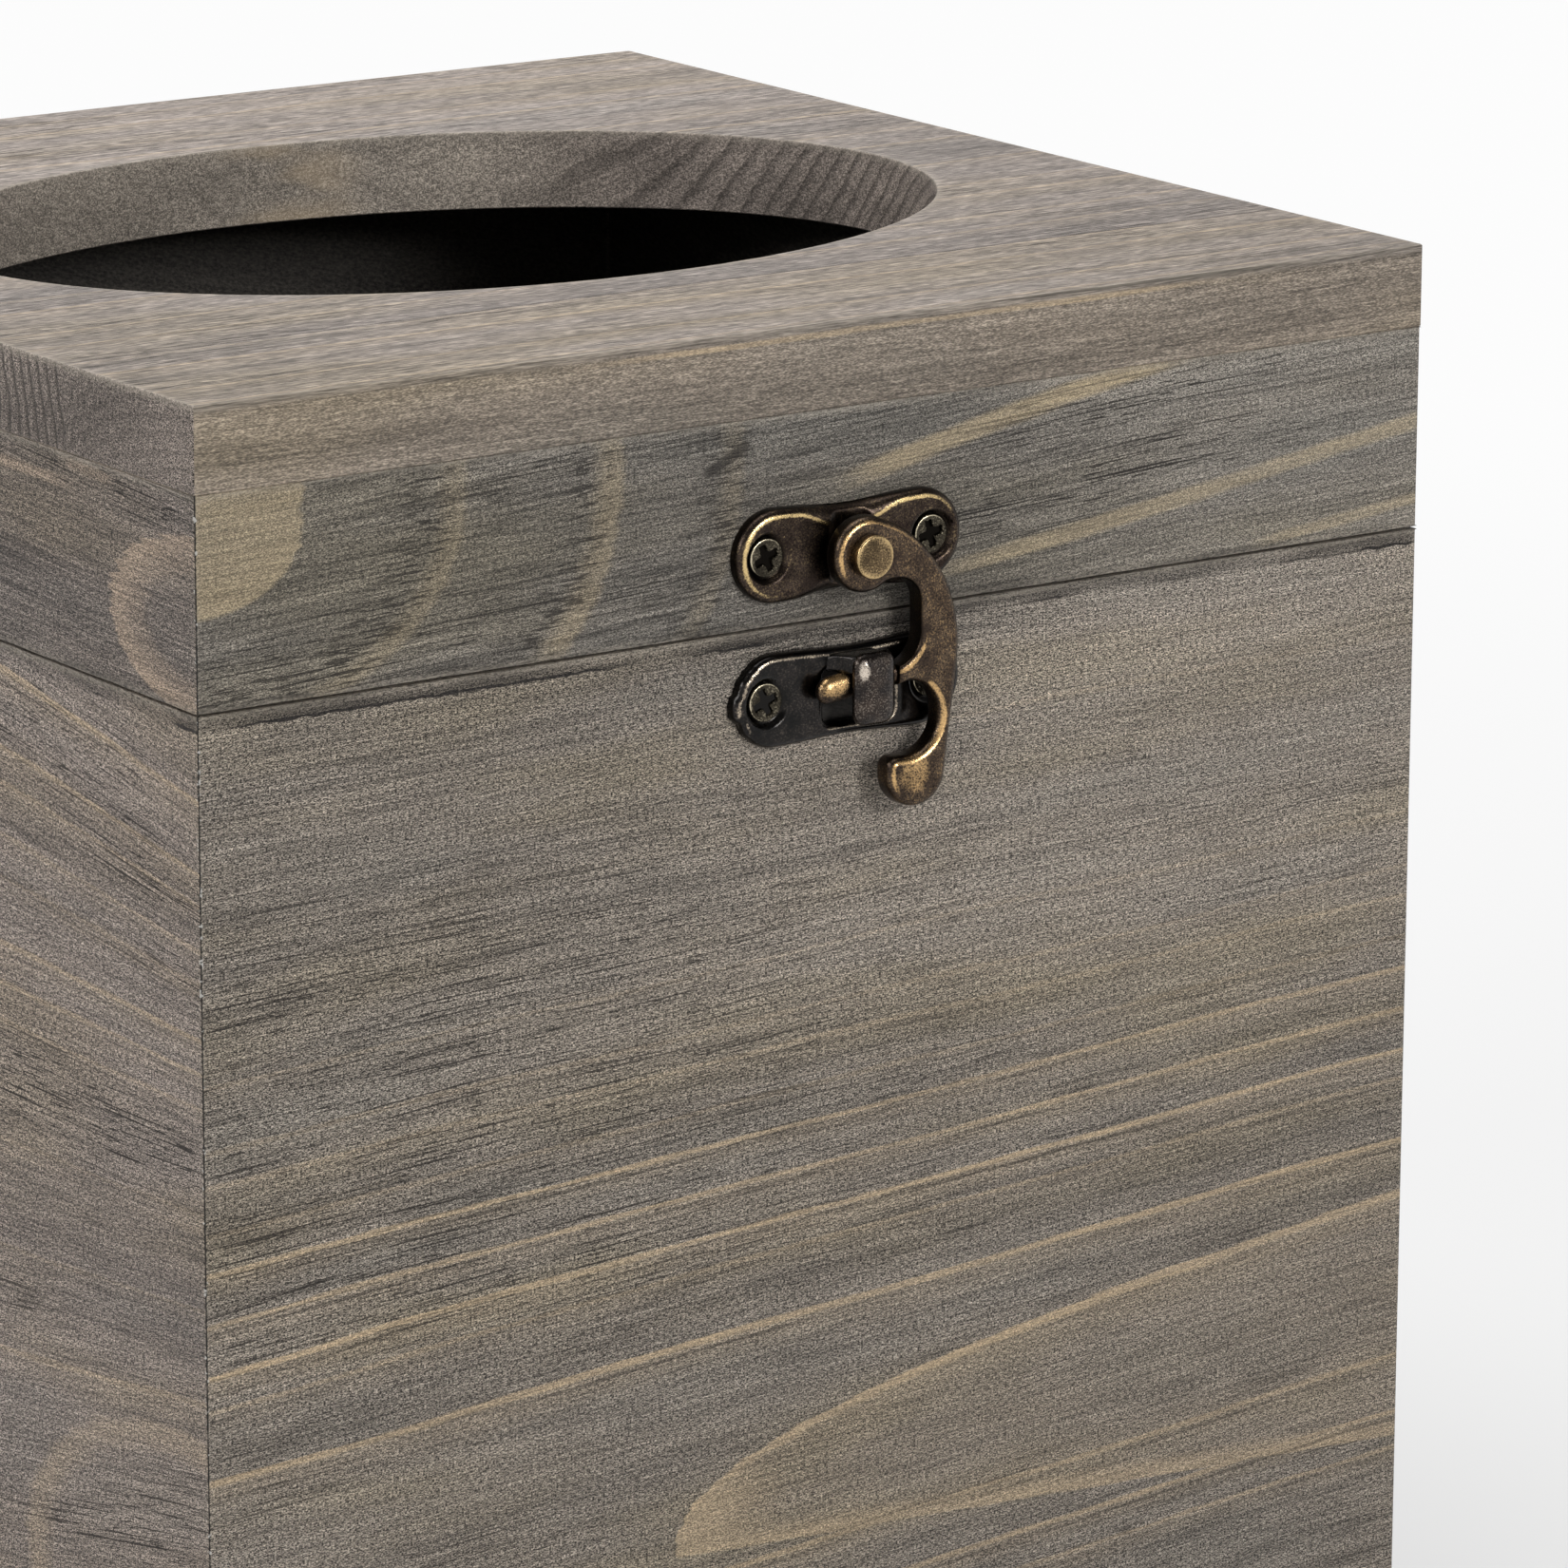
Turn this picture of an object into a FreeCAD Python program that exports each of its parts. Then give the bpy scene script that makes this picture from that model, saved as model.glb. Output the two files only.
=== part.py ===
"""Square wooden tissue box cover with a hinged lid and a swing hook latch.

Frame, in millimetres: origin at the middle of the resting face, +X to the right
as seen from the latch side, +Y to the hinge side, +Z up.
"""
import FreeCAD
import Part
import Sketcher
import math
import os
import re

SIZES = {
    # Outside of the closed box
    "box_width": 150.0,
    "box_depth": 150.0,
    "box_height": 160.0,
    # Wood: side walls, top and bottom boards, lid frame
    "wall": 9.0,
    "board": 8.8,
    "lid_height": 30.4,
    "seam_gap": 0.4,
    "edge_easing": 0.5,
    # Oval opening in the top board
    "opening_length": 116.6,
    "opening_width": 86.8,
    # Latch plate on the lid
    "latch_offset": 0.75,
    "latch_drop": 22.9,
    "plate_length": 27.6,
    "plate_width": 9.7,
    "plate_waist": 0.9,
    "plate_height": 1.5,
    "plate_rounding": 1.0,
    "plate_screw_spacing": 20.2,
    # Rivet and the boss that it stands on, just below the middle of the plate
    "pivot_drop": 0.35,
    "boss_radius": 3.2,
    "boss_height": 2.15,
    "rivet_head_radius": 2.25,
    "rivet_head_height": 1.1,
    "rivet_radius": 1.3,
    "rivet_tail_radius": 1.9,
    "rivet_tail_height": 0.5,
    "pivot_play": 0.05,
    # Hook: eye, curved arm, the gap below the eye with its crook, and the thumb tail
    "hook_thickness": 2.4,
    "hook_rounding": 0.6,
    "eye_radius": 3.95,
    "arm_reach": 11.5,
    "arm_radius": 14.9,
    "gap_radius": 2.9,
    "gap_across": 3.72,
    "crook_radius": 3.3,
    "crook_drop": 8.75,
    "bay_radius": 3.85,
    "bay_across": 5.2,
    "bay_drop": 17.65,
    "toe_corner": 1.1,
    "foot_radius": 3.6,
    "foot_across": 6.3,
    "foot_drop": 23.35,
    # Prong of the hook, which lies under the catch
    "prong_root": 3.95,
    "prong_reach": 4.0,
    "prong_width": 2.9,
    "prong_neck": 1.9,
    "prong_thickness": 1.7,
    "prong_drop": 13.4,
    "prong_slope": 6.2,
    "prong_tip_rounding": 1.3,
    "prong_rounding": 0.6,
    # Catch plate on the base, with its window and its tab over the prong
    "catch_drop": 37.8,
    "catch_waist": 0.3,
    "catch_height": 1.4,
    "tab_width": 5.0,
    "tab_shift": 1.05,
    "tab_top": 4.4,
    "tab_bottom": 3.2,
    "tab_thickness": 1.2,
    "tab_corner": 1.1,
    "tab_rounding": 0.8,
    "window_margin": 1.6,
    "window_top": 2.3,
    "window_bottom": 3.1,
    "prong_play": 0.3,
    # Screws of the latch and the catch
    "screw_head": 4.0,
    "screw_shank": 2.0,
    "screw_length": 7.6,
    "screw_tip": 1.6,
    "screw_sink": 0.2,
    "screw_play": 0.05,
    "recess_span": 2.3,
    "recess_width": 0.6,
    "recess_depth": 0.7,
    # Butt hinges on the back
    "hinge_spacing": 84.0,
    "hinge_length": 18.0,
    "leaf_height": 9.0,
    "leaf_thickness": 0.8,
    "knuckle_radius": 1.25,
    "knuckle_length": 6.0,
    "knuckle_play": 0.2,
    "hinge_pin_radius": 0.65,
    "hinge_pin_play": 0.05,
    "hinge_pin_overhang": 0.3,
    "hinge_screw_head": 3.0,
    "hinge_screw_shank": 1.8,
    "hinge_screw_length": 7.0,
    "hinge_screw_spacing": 11.0,
    "hinge_screw_height": 5.6,
    "hinge_screw_sink": 0.05,
}

NAMES = re.compile(r"\b(" + "|".join(SIZES) + r")\b")
QUARTER_TURN = 90.0
COUNTERSINK_ANGLE = 90.0
NEAR = 0.001

# Heights above the resting face
SEAM_LEVEL = "(box_height - lid_height)"
LID_FLOOR = "(box_height - lid_height + seam_gap / 2)"
BASE_TOP = "(box_height - lid_height - seam_gap / 2)"
LATCH_LEVEL = "(box_height - latch_drop)"
RIVET_LEVEL = "(box_height - latch_drop - pivot_drop)"
CATCH_LEVEL = "(box_height - catch_drop)"

# Distances out from the front face
HOOK_BACK = "(boss_height + pivot_play)"
HOOK_FRONT = "(boss_height + pivot_play + hook_thickness)"
PRONG_BACK = "(plate_height + prong_play)"
TAB_BACK = "(plate_height + 2 * prong_play + prong_thickness)"

# Distances out from the back face
KNUCKLE_AXIS = "(knuckle_radius + knuckle_play)"

doc = FreeCAD.newDocument("tissue_box_cover")
sheet = doc.addObject("Spreadsheet::Sheet", "sizes")
for row, (alias, value) in enumerate(SIZES.items(), start=1):
    sheet.set(f"A{row}", alias)
    sheet.set(f"B{row}", str(value))
    sheet.setAlias(f"B{row}", alias)
doc.recompute()

sub_parts = []


# Building blocks

def bind(item, path, formula):
    """Drive a property or constraint of an item by a formula in the named sizes."""
    item.setExpression(path, NAMES.sub(lambda found: "sizes." + found.group(), formula))


def new_body(label, x="0", y="0", z="0", turn=0, kept=True):
    """A body placed by formulas and turned about +Z by quarter turns."""
    body = doc.addObject("PartDesign::Body", label)
    body.Label = label
    body.Placement.Rotation = FreeCAD.Rotation(FreeCAD.Vector(0, 0, 1), turn * QUARTER_TURN)
    bind(body, "Placement.Base.x", x)
    bind(body, "Placement.Base.y", y)
    bind(body, "Placement.Base.z", z)
    if kept:
        sub_parts.append(body)
    return body


def new_sketch(body, name, role, height="0"):
    """A sketch on an origin plane of its body, lifted along the plane's normal."""
    sketch = body.newObject("Sketcher::SketchObject", f"{body.Label}_{name}")
    plane = next(item for item in body.Origin.OriginFeatures if item.Role == role)
    sketch.AttachmentSupport = [(plane, "")]
    sketch.MapMode = "FlatFace"
    bind(sketch, "AttachmentOffset.Base.z", height)
    return sketch


def measure(sketch, formula, now, kind, *where):
    """Add one dimension to a sketch, at its present value, and drive it by a formula."""
    index = sketch.addConstraint(Sketcher.Constraint(kind, *where, now))
    bind(sketch, f"Constraints[{index}]", formula)


def place_across(sketch, item, point, x):
    """Set how far across the sketch a point lies."""
    if x == "0":
        sketch.addConstraint(Sketcher.Constraint("PointOnObject", item, point, -2))
    else:
        measure(sketch, x, sketch.getPoint(item, point).x, "DistanceX", -1, 1, item, point)


def place_up(sketch, item, point, y):
    """Set how far up the sketch a point lies."""
    if y == "0":
        sketch.addConstraint(Sketcher.Constraint("PointOnObject", item, point, -1))
    else:
        measure(sketch, y, sketch.getPoint(item, point).y, "DistanceY", -1, 1, item, point)


def join(sketch, first, first_end, second, second_end, kind="Tangent"):
    """Join two curve ends, tangent unless told otherwise."""
    sketch.addConstraint(Sketcher.Constraint(kind, first, first_end, second, second_end))


def add_line(sketch, start, end):
    """A straight line between two points, as first drawn."""
    return sketch.addGeometry(Part.LineSegment(FreeCAD.Vector(*start, 0), FreeCAD.Vector(*end, 0)), False)


def add_arc(sketch, centre, radius, start, end, formula):
    """An arc, counter-clockwise between two directions, with a driven radius."""
    whole = Part.Circle(FreeCAD.Vector(*centre, 0), FreeCAD.Vector(0, 0, 1), radius)
    item = sketch.addGeometry(Part.ArcOfCircle(whole, start, end), False)
    measure(sketch, formula, radius, "Radius", item)
    return item


def add_circle(sketch, x, y, radius):
    """A circle with its centre and radius given by formulas."""
    item = sketch.addGeometry(Part.Circle(FreeCAD.Vector(1, 1, 0), FreeCAD.Vector(0, 0, 1), 1), False)
    place_across(sketch, item, 3, x)
    place_up(sketch, item, 3, y)
    measure(sketch, radius, 1, "Radius", item)


def add_polygon(sketch, corners):
    """A closed outline through corners given as pairs of formulas."""
    count = len(corners)
    angles = [2 * math.pi * index / count for index in range(count)]
    ring = [(math.cos(angle), math.sin(angle)) for angle in angles]
    lines = [add_line(sketch, ring[index - 1], ring[index]) for index in range(count)]
    for index in range(count):
        join(sketch, lines[index - 1], 2, lines[index], 1, "Coincident")
    for line, (x, y) in zip(lines, corners):
        place_across(sketch, line, 1, x)
        place_up(sketch, line, 1, y)


def add_rectangle(sketch, left, right, low, high):
    """A rectangle between four formulas."""
    add_polygon(sketch, [(left, low), (right, low), (right, high), (left, high)])


def pad(body, sketch, length, both_ways=False):
    """Raise a sketch along its plane's normal, or half of it each way."""
    feature = body.newObject("PartDesign::Pad", f"{sketch.Name}_pad")
    feature.Profile = sketch
    if both_ways:
        feature.SideType = "Symmetric"
    bind(feature, "Length", length)
    doc.recompute()


def pocket(body, sketch, depth=None):
    """Cut a sketch against its plane's normal, or right through where no depth is given."""
    before = body.Shape.Volume
    feature = body.newObject("PartDesign::Pocket", f"{sketch.Name}_pocket")
    feature.Profile = sketch
    if depth is None:
        feature.Type = "ThroughAll"
        feature.SideType = "Symmetric"
    else:
        bind(feature, "Length", depth)
    doc.recompute()
    if not body.Shape.Volume < before:
        raise RuntimeError(f"{feature.Name} cuts nothing")


def round_edges(body, name, chosen, radius):
    """Round the edges of a body that a test picks."""
    base = body.Tip
    edges = enumerate(base.Shape.Edges, start=1)
    names = [f"Edge{number}" for number, edge in edges if chosen(edge.BoundBox)]
    feature = body.newObject("PartDesign::Fillet", f"{body.Label}_{name}")
    feature.Base = (base, names)
    bind(feature, "Radius", radius)
    doc.recompute()


def round_front(body, name, radius):
    """Round the edges of a body's foremost flat face."""
    front = body.Tip.Shape.BoundBox.YMin
    round_edges(body, name, lambda box: abs(box.YMax - front) < NEAR, radius)


def countersunk_holes(body, spots, height, head, shank, sink):
    """Countersunk screw holes through a plate, each at a pair of formulas."""
    sketch = new_sketch(body, "holes", "XZ_Plane", height)
    for x, z in spots:
        add_circle(sketch, x, z, f"{shank} / 2 + screw_play")
    doc.recompute()
    hole = body.newObject("PartDesign::Hole", f"{body.Label}_hole")
    hole.Profile = sketch
    doc.recompute()
    hole.Threaded = False
    hole.DepthType = "ThroughAll"
    hole.HoleCutType = "Countersink"
    hole.HoleCutCountersinkAngle = COUNTERSINK_ANGLE
    bind(hole, "Diameter", f"{shank} + 2 * screw_play")
    bind(hole, "HoleCutDiameter", f"{head} + 2 * {sink} + 2 * screw_play")
    doc.recompute()


# Screws

def screw(label, x, y, z, turn, top, head, shank, length):
    """A countersunk cross-head wood screw, from where its axis meets the wood."""
    body = new_body(label, x, y, z, turn, kept=False)
    profile = new_sketch(body, "profile", "XY_Plane")
    add_polygon(profile, [
        ("0", f"-({top})"),
        (f"{head} / 2", f"-({top})"),
        (f"{shank} / 2", f"({head} - {shank}) / 2 - ({top})"),
        (f"{shank} / 2", f"{length} - ({top}) - screw_tip"),
        ("0", f"{length} - ({top})"),
    ])
    turned = body.newObject("PartDesign::Revolution", f"{label}_turned")
    turned.Profile = profile
    turned.ReferenceAxis = (profile, ["V_Axis"])
    doc.recompute()
    reach = f"recess_span * {head} / screw_head / 2"
    half = f"recess_width * {head} / screw_head / 2"
    cross = new_sketch(body, "cross", "XZ_Plane", top)
    add_polygon(cross, [
        (reach, f"-{half}"), (reach, half), (half, half), (half, reach),
        (f"-{half}", reach), (f"-{half}", half), (f"-{reach}", half), (f"-{reach}", f"-{half}"),
        (f"-{half}", f"-{half}"), (f"-{half}", f"-{reach}"), (half, f"-{reach}"), (half, f"-{half}"),
    ])
    pocket(body, cross, f"recess_depth * {head} / screw_head")
    return body


def screw_group(label, screws):
    """Identical screws kept together as separate solids."""
    group = doc.addObject("Part::Compound", label)
    group.Label = label
    group.Links = screws
    sub_parts.append(group)


# Wood

def mitred_wall(label, length, reach, height, floor, turn, seam_at_top, pilot_holes=()):
    """A side of the box, mitred at both ends, with its outer seam edge eased."""
    body = new_body(label, z=floor, turn=turn)
    plan = new_sketch(body, "plan", "XY_Plane")
    outer = f"-{reach} / 2"
    inner = f"wall - {reach} / 2"
    add_polygon(plan, [
        (f"-{length} / 2", outer),
        (f"{length} / 2", outer),
        (f"{length} / 2 - wall", inner),
        (f"wall - {length} / 2", inner),
    ])
    pad(body, plan, height)
    whole = body.Tip.Shape.BoundBox
    seam = whole.ZMax if seam_at_top else whole.ZMin

    def outer_seam_edge(box):
        flat = abs(box.ZMin - seam) < NEAR and abs(box.ZMax - seam) < NEAR
        return flat and abs(box.YMax - whole.YMin) < NEAR

    round_edges(body, "seam_easing", outer_seam_edge, "edge_easing")
    for number, (x, z, shank, depth) in enumerate(pilot_holes, start=1):
        drill = new_sketch(body, f"pilot_{number}", "XZ_Plane", f"{reach} / 2")
        add_circle(drill, x, f"{z} - {floor}", f"{shank} / 2 + screw_play")
        pocket(body, drill, depth)


def box_sides(prefix, suffix, height, floor, seam_at_top, front_holes, back_holes):
    """The four mitred sides of the base or of the lid."""
    across = ("box_width", "box_depth")
    along = ("box_depth", "box_width")
    plan = [("front", across, front_holes), ("right", along, ()), ("back", across, back_holes),
            ("left", along, ())]
    for turn, (side, (length, reach), holes) in enumerate(plan):
        label = f"{prefix}_{side}_{suffix}"
        mitred_wall(label, length, reach, height, floor, turn, seam_at_top, holes)


def flat_board(label, floor):
    """A square board across the whole box."""
    body = new_body(label, z=floor)
    plan = new_sketch(body, "plan", "XY_Plane")
    add_rectangle(plan, "-box_width / 2", "box_width / 2", "-box_depth / 2", "box_depth / 2")
    pad(body, plan, "board")
    return body


def lid_top_board():
    """The top board with its oval opening and eased upper edges."""
    body = flat_board("lid_top_board", "(box_height - board)")
    opening = new_sketch(body, "opening", "XY_Plane", "board")
    major = SIZES["opening_length"] / 2
    minor = SIZES["opening_width"] / 2
    oval = opening.addGeometry(Part.Ellipse(FreeCAD.Vector(0, 0, 0), major, minor), False)
    opening.exposeInternalGeometry(oval)
    long_line = oval + 1
    short_line = oval + 2
    join(opening, oval, 3, -1, 1, "Coincident")
    opening.addConstraint(Sketcher.Constraint("Horizontal", long_line))
    measure(opening, "opening_length", 2 * major, "Distance", long_line)
    measure(opening, "opening_width", 2 * minor, "Distance", short_line)
    pocket(body, opening, "board")
    top = body.Tip.Shape.BoundBox.ZMax
    round_edges(body, "top_easing", lambda box: abs(box.ZMin - top) < NEAR, "edge_easing")


# Latch

def waisted_outline(sketch, length, width, waist):
    """A plate outline with two round ends and slightly hollow long sides."""
    end = SIZES[width] / 2
    across = SIZES[length] / 2 - end
    hollow = (across ** 2 / SIZES[waist] + SIZES[waist]) / 2 - end
    lift = hollow + end - SIZES[waist]
    lean = math.atan2(across, lift)
    up = math.pi / 2
    half_span = f"({length} - {width}) / 2"
    hollow_rule = f"(({half_span}) ^ 2 / {waist} + {waist}) / 2 - {width} / 2"
    right = add_arc(sketch, (across, 0), end, lean - up, up + lean, f"{width} / 2")
    left = add_arc(sketch, (-across, 0), end, up - lean, 3 * up + lean, f"{width} / 2")
    top = add_arc(sketch, (0, lift), hollow, -up - lean, lean - up, hollow_rule)
    bottom = add_arc(sketch, (0, -lift), hollow, up - lean, up + lean, hollow_rule)
    join(sketch, right, 2, top, 2)
    join(sketch, top, 1, left, 1)
    join(sketch, left, 2, bottom, 2)
    join(sketch, bottom, 1, right, 1)
    for item, x in ((right, half_span), (left, f"-({half_span})")):
        place_across(sketch, item, 3, x)
        place_up(sketch, item, 3, "0")


PLATE_SCREW_SPOTS = ("-plate_screw_spacing / 2", "plate_screw_spacing / 2")


def latch_plate():
    """The plate on the lid, with the boss that carries the hook."""
    body = new_body("latch_plate", "latch_offset", "-box_depth / 2", LATCH_LEVEL)
    outline = new_sketch(body, "outline", "XZ_Plane")
    waisted_outline(outline, "plate_length", "plate_width", "plate_waist")
    pad(body, outline, "plate_height")
    round_front(body, "plate_rounding", "plate_rounding")
    boss = new_sketch(body, "boss", "XZ_Plane")
    add_circle(boss, "0", "-pivot_drop", "boss_radius")
    pad(body, boss, "boss_height")
    tail = new_sketch(body, "rivet_tail", "XZ_Plane", "rivet_tail_height")
    add_circle(tail, "0", "-pivot_drop", "rivet_tail_radius + pivot_play")
    pocket(body, tail, "rivet_tail_height")
    bore = new_sketch(body, "rivet_bore", "XZ_Plane", "boss_height")
    add_circle(bore, "0", "-pivot_drop", "rivet_radius + pivot_play")
    pocket(body, bore, "boss_height")
    spots = [(x, "0") for x in PLATE_SCREW_SPOTS]
    countersunk_holes(body, spots, "plate_height", "screw_head", "screw_shank", "screw_sink")


def latch_rivet():
    """The rivet: a shank with a flat head in front and a set tail behind the plate."""
    body = new_body("latch_rivet", "latch_offset", "-box_depth / 2", RIVET_LEVEL)
    shank = new_sketch(body, "shank", "XZ_Plane")
    add_circle(shank, "0", "0", "rivet_radius")
    pad(body, shank, f"{HOOK_FRONT} + pivot_play + rivet_head_height")
    head = new_sketch(body, "head", "XZ_Plane", f"{HOOK_FRONT} + pivot_play")
    add_circle(head, "0", "0", "rivet_head_radius")
    pad(body, head, "rivet_head_height")
    tail = new_sketch(body, "tail", "XZ_Plane")
    add_circle(tail, "0", "0", "rivet_tail_radius")
    pad(body, tail, "rivet_tail_height")


def hook_outline(sketch):
    """The front outline of the hook: eye, arm, foot, bay, neck of the prong, crook and gap in turn."""
    eye = SIZES["eye_radius"]
    arm = SIZES["arm_radius"]
    foot = SIZES["foot_radius"]
    toe = SIZES["toe_corner"]
    bay = SIZES["bay_radius"]
    crook = SIZES["crook_radius"]
    gap = SIZES["gap_radius"]
    arm_x = SIZES["arm_reach"] - arm
    arm_z = -math.sqrt((arm - eye) ** 2 - arm_x ** 2)
    foot_x = SIZES["foot_across"]
    foot_z = -SIZES["foot_drop"]
    bay_x = SIZES["bay_across"]
    bay_z = -SIZES["bay_drop"]
    gap_x = SIZES["gap_across"]
    gap_z = -math.sqrt((eye + gap) ** 2 - gap_x ** 2)
    crook_x = gap_x + gap - crook
    crook_z = -SIZES["crook_drop"]
    root_x = SIZES["prong_root"]
    heel_x = foot_x - foot
    toe_x = heel_x + toe
    toe_z = bay_z - bay - toe
    up = math.pi / 2

    # Directions in which the neighbouring curves touch
    crown = math.atan2(-arm_z, -arm_x)
    chin = math.atan2(gap_z, gap_x)
    reach = math.hypot(foot_x - arm_x, foot_z - arm_z)
    side = math.atan2(foot_z - arm_z, foot_x - arm_x) + math.acos((arm - foot) / reach)
    brow = math.acos((root_x - bay_x) / bay)
    sole = -math.acos((root_x - crook_x) / crook)
    arm_end = (arm_x + arm * math.cos(side), arm_z + arm * math.sin(side))
    foot_end = (foot_x + foot * math.cos(side), foot_z + foot * math.sin(side))

    eye_arc = add_arc(sketch, (0, 0), eye, crown, chin + 4 * up, "eye_radius")
    arm_arc = add_arc(sketch, (arm_x, arm_z), arm, side, crown, "arm_radius")
    tail_line = add_line(sketch, arm_end, foot_end)
    foot_arc = add_arc(sketch, (foot_x, foot_z), foot, 2 * up, side + 4 * up, "foot_radius")
    heel_line = add_line(sketch, (heel_x, foot_z), (heel_x, toe_z))
    toe_arc = add_arc(sketch, (toe_x, toe_z), toe, up, 2 * up, "toe_corner")
    toe_line = add_line(sketch, (toe_x, toe_z + toe), (bay_x, toe_z + toe))
    bay_arc = add_arc(sketch, (bay_x, bay_z), bay, -up, brow, "bay_radius")
    root_line = add_line(sketch, (root_x, bay_z + bay * math.sin(brow)),
                         (root_x, crook_z + crook * math.sin(sole)))
    crook_arc = add_arc(sketch, (crook_x, crook_z), crook, sole, 0, "crook_radius")
    gap_line = add_line(sketch, (gap_x + gap, crook_z), (gap_x + gap, gap_z))
    gap_arc = add_arc(sketch, (gap_x, gap_z), gap, 0, chin + 2 * up, "gap_radius")

    join(sketch, eye_arc, 1, arm_arc, 2)
    join(sketch, arm_arc, 1, tail_line, 1)
    join(sketch, tail_line, 2, foot_arc, 2)
    join(sketch, foot_arc, 1, heel_line, 1)
    join(sketch, heel_line, 2, toe_arc, 2)
    join(sketch, toe_arc, 1, toe_line, 1)
    join(sketch, toe_line, 2, bay_arc, 1)
    join(sketch, bay_arc, 2, root_line, 1, "Coincident")
    join(sketch, root_line, 2, crook_arc, 1, "Coincident")
    join(sketch, crook_arc, 2, gap_line, 1)
    join(sketch, gap_line, 2, gap_arc, 1)
    join(sketch, gap_arc, 2, eye_arc, 2)
    join(sketch, eye_arc, 3, -1, 1, "Coincident")
    place_across(sketch, arm_arc, 3, "arm_reach - arm_radius")
    place_across(sketch, foot_arc, 3, "foot_across")
    place_up(sketch, foot_arc, 3, "-foot_drop")
    sketch.addConstraint(Sketcher.Constraint("Vertical", heel_line))
    sketch.addConstraint(Sketcher.Constraint("Horizontal", toe_line))
    place_across(sketch, bay_arc, 3, "bay_across")
    place_up(sketch, bay_arc, 3, "-bay_drop")
    sketch.addConstraint(Sketcher.Constraint("Vertical", root_line))
    place_across(sketch, root_line, 1, "prong_root")
    sketch.addConstraint(Sketcher.Constraint("Vertical", gap_line))
    place_up(sketch, crook_arc, 3, "-crook_drop")
    place_across(sketch, gap_arc, 3, "gap_across")


def latch_hook():
    """The hook that swings on the rivet: its prong lies deeper than its arm."""
    body = new_body("latch_hook", "latch_offset", "-box_depth / 2", RIVET_LEVEL)
    prong = new_sketch(body, "prong", "XZ_Plane", PRONG_BACK)
    climb = "tan(prong_slope * 1 deg)"
    inside = "(gap_across + gap_radius)"
    root = f"{inside} * {climb} - prong_drop"
    tip = f"-prong_reach * {climb} - prong_drop"
    add_polygon(prong, [
        ("-prong_reach", f"{tip} - prong_width / 2"),
        (inside, f"{root} - prong_neck / 2"),
        (inside, f"{root} + prong_neck / 2"),
        ("-prong_reach", f"{tip} + prong_width / 2"),
    ])
    pad(body, prong, "prong_thickness")
    whole = body.Tip.Shape.BoundBox

    def tip_edge(box):
        return box.XMax - whole.XMin < NEAR and box.ZLength < NEAR

    round_edges(body, "tip_rounding", tip_edge, "prong_tip_rounding")
    round_front(body, "prong_rounding", "prong_rounding")
    outline = new_sketch(body, "outline", "XZ_Plane", HOOK_BACK)
    hook_outline(outline)
    pad(body, outline, "hook_thickness")
    round_front(body, "arm_rounding", "hook_rounding")
    bore = new_sketch(body, "bore", "XZ_Plane", HOOK_FRONT)
    add_circle(bore, "0", "0", "rivet_radius + pivot_play")
    pocket(body, bore, "hook_thickness")


def catch_plate():
    """The plate on the base: a window, and a tab that reaches over the prong."""
    body = new_body("catch_plate", "latch_offset", "-box_depth / 2", CATCH_LEVEL)
    outline = new_sketch(body, "outline", "XZ_Plane")
    waisted_outline(outline, "plate_length", "plate_width", "catch_waist")
    pad(body, outline, "catch_height")
    round_front(body, "plate_rounding", "plate_rounding")
    tab_left = "(tab_shift - tab_width / 2)"
    tab_right = "(tab_shift + tab_width / 2)"
    tab = new_sketch(body, "tab", "XZ_Plane", "catch_height / 2")
    add_rectangle(tab, tab_left, tab_right, "-tab_bottom", "tab_top")
    pad(body, tab, f"{TAB_BACK} + tab_thickness - catch_height / 2")
    front = body.Tip.Shape.BoundBox.YMin

    def lower_corner(box):
        upright = box.XLength < NEAR and box.ZLength < NEAR
        return upright and abs(box.YMin - front) < NEAR and box.ZMax < 0

    round_edges(body, "tab_corners", lower_corner, "tab_corner")
    round_front(body, "tab_rounding", "tab_rounding")
    throat = new_sketch(body, "throat", "XZ_Plane", TAB_BACK)
    rivet_up = "catch_drop - latch_drop - pivot_drop"
    swept = "prong_drop * cos(prong_slope * 1 deg) - prong_width / 2 - prong_play"
    add_circle(throat, "0", rivet_up, swept)
    add_circle(throat, "0", rivet_up, "foot_drop + foot_radius")
    pocket(body, throat, f"{TAB_BACK} - catch_height")
    window = new_sketch(body, "window", "XZ_Plane", "catch_height")
    add_rectangle(window, f"{tab_left} - window_margin", f"{tab_right} + window_margin",
                  "-window_bottom", "window_top")
    pocket(body, window, "catch_height")
    spots = [(x, "0") for x in PLATE_SCREW_SPOTS]
    countersunk_holes(body, spots, "catch_height", "screw_head", "screw_shank", "screw_sink")


# Hinges

def hinge_knuckle(body, name, start, length, side):
    """One knuckle of a hinge leaf and the tongue that carries it."""
    tongue = new_sketch(body, f"{name}_tongue", "XZ_Plane")
    far = f"{side} * leaf_height / 2"
    add_polygon(tongue, [(start, "0"), (f"{start} + {length}", "0"),
                         (f"{start} + {length}", far), (start, far)])
    pad(body, tongue, "leaf_thickness")
    barrel = new_sketch(body, f"{name}_barrel", "YZ_Plane", start)
    add_circle(barrel, f"-{KNUCKLE_AXIS}", "0", "knuckle_radius")
    pad(body, barrel, length)


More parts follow.
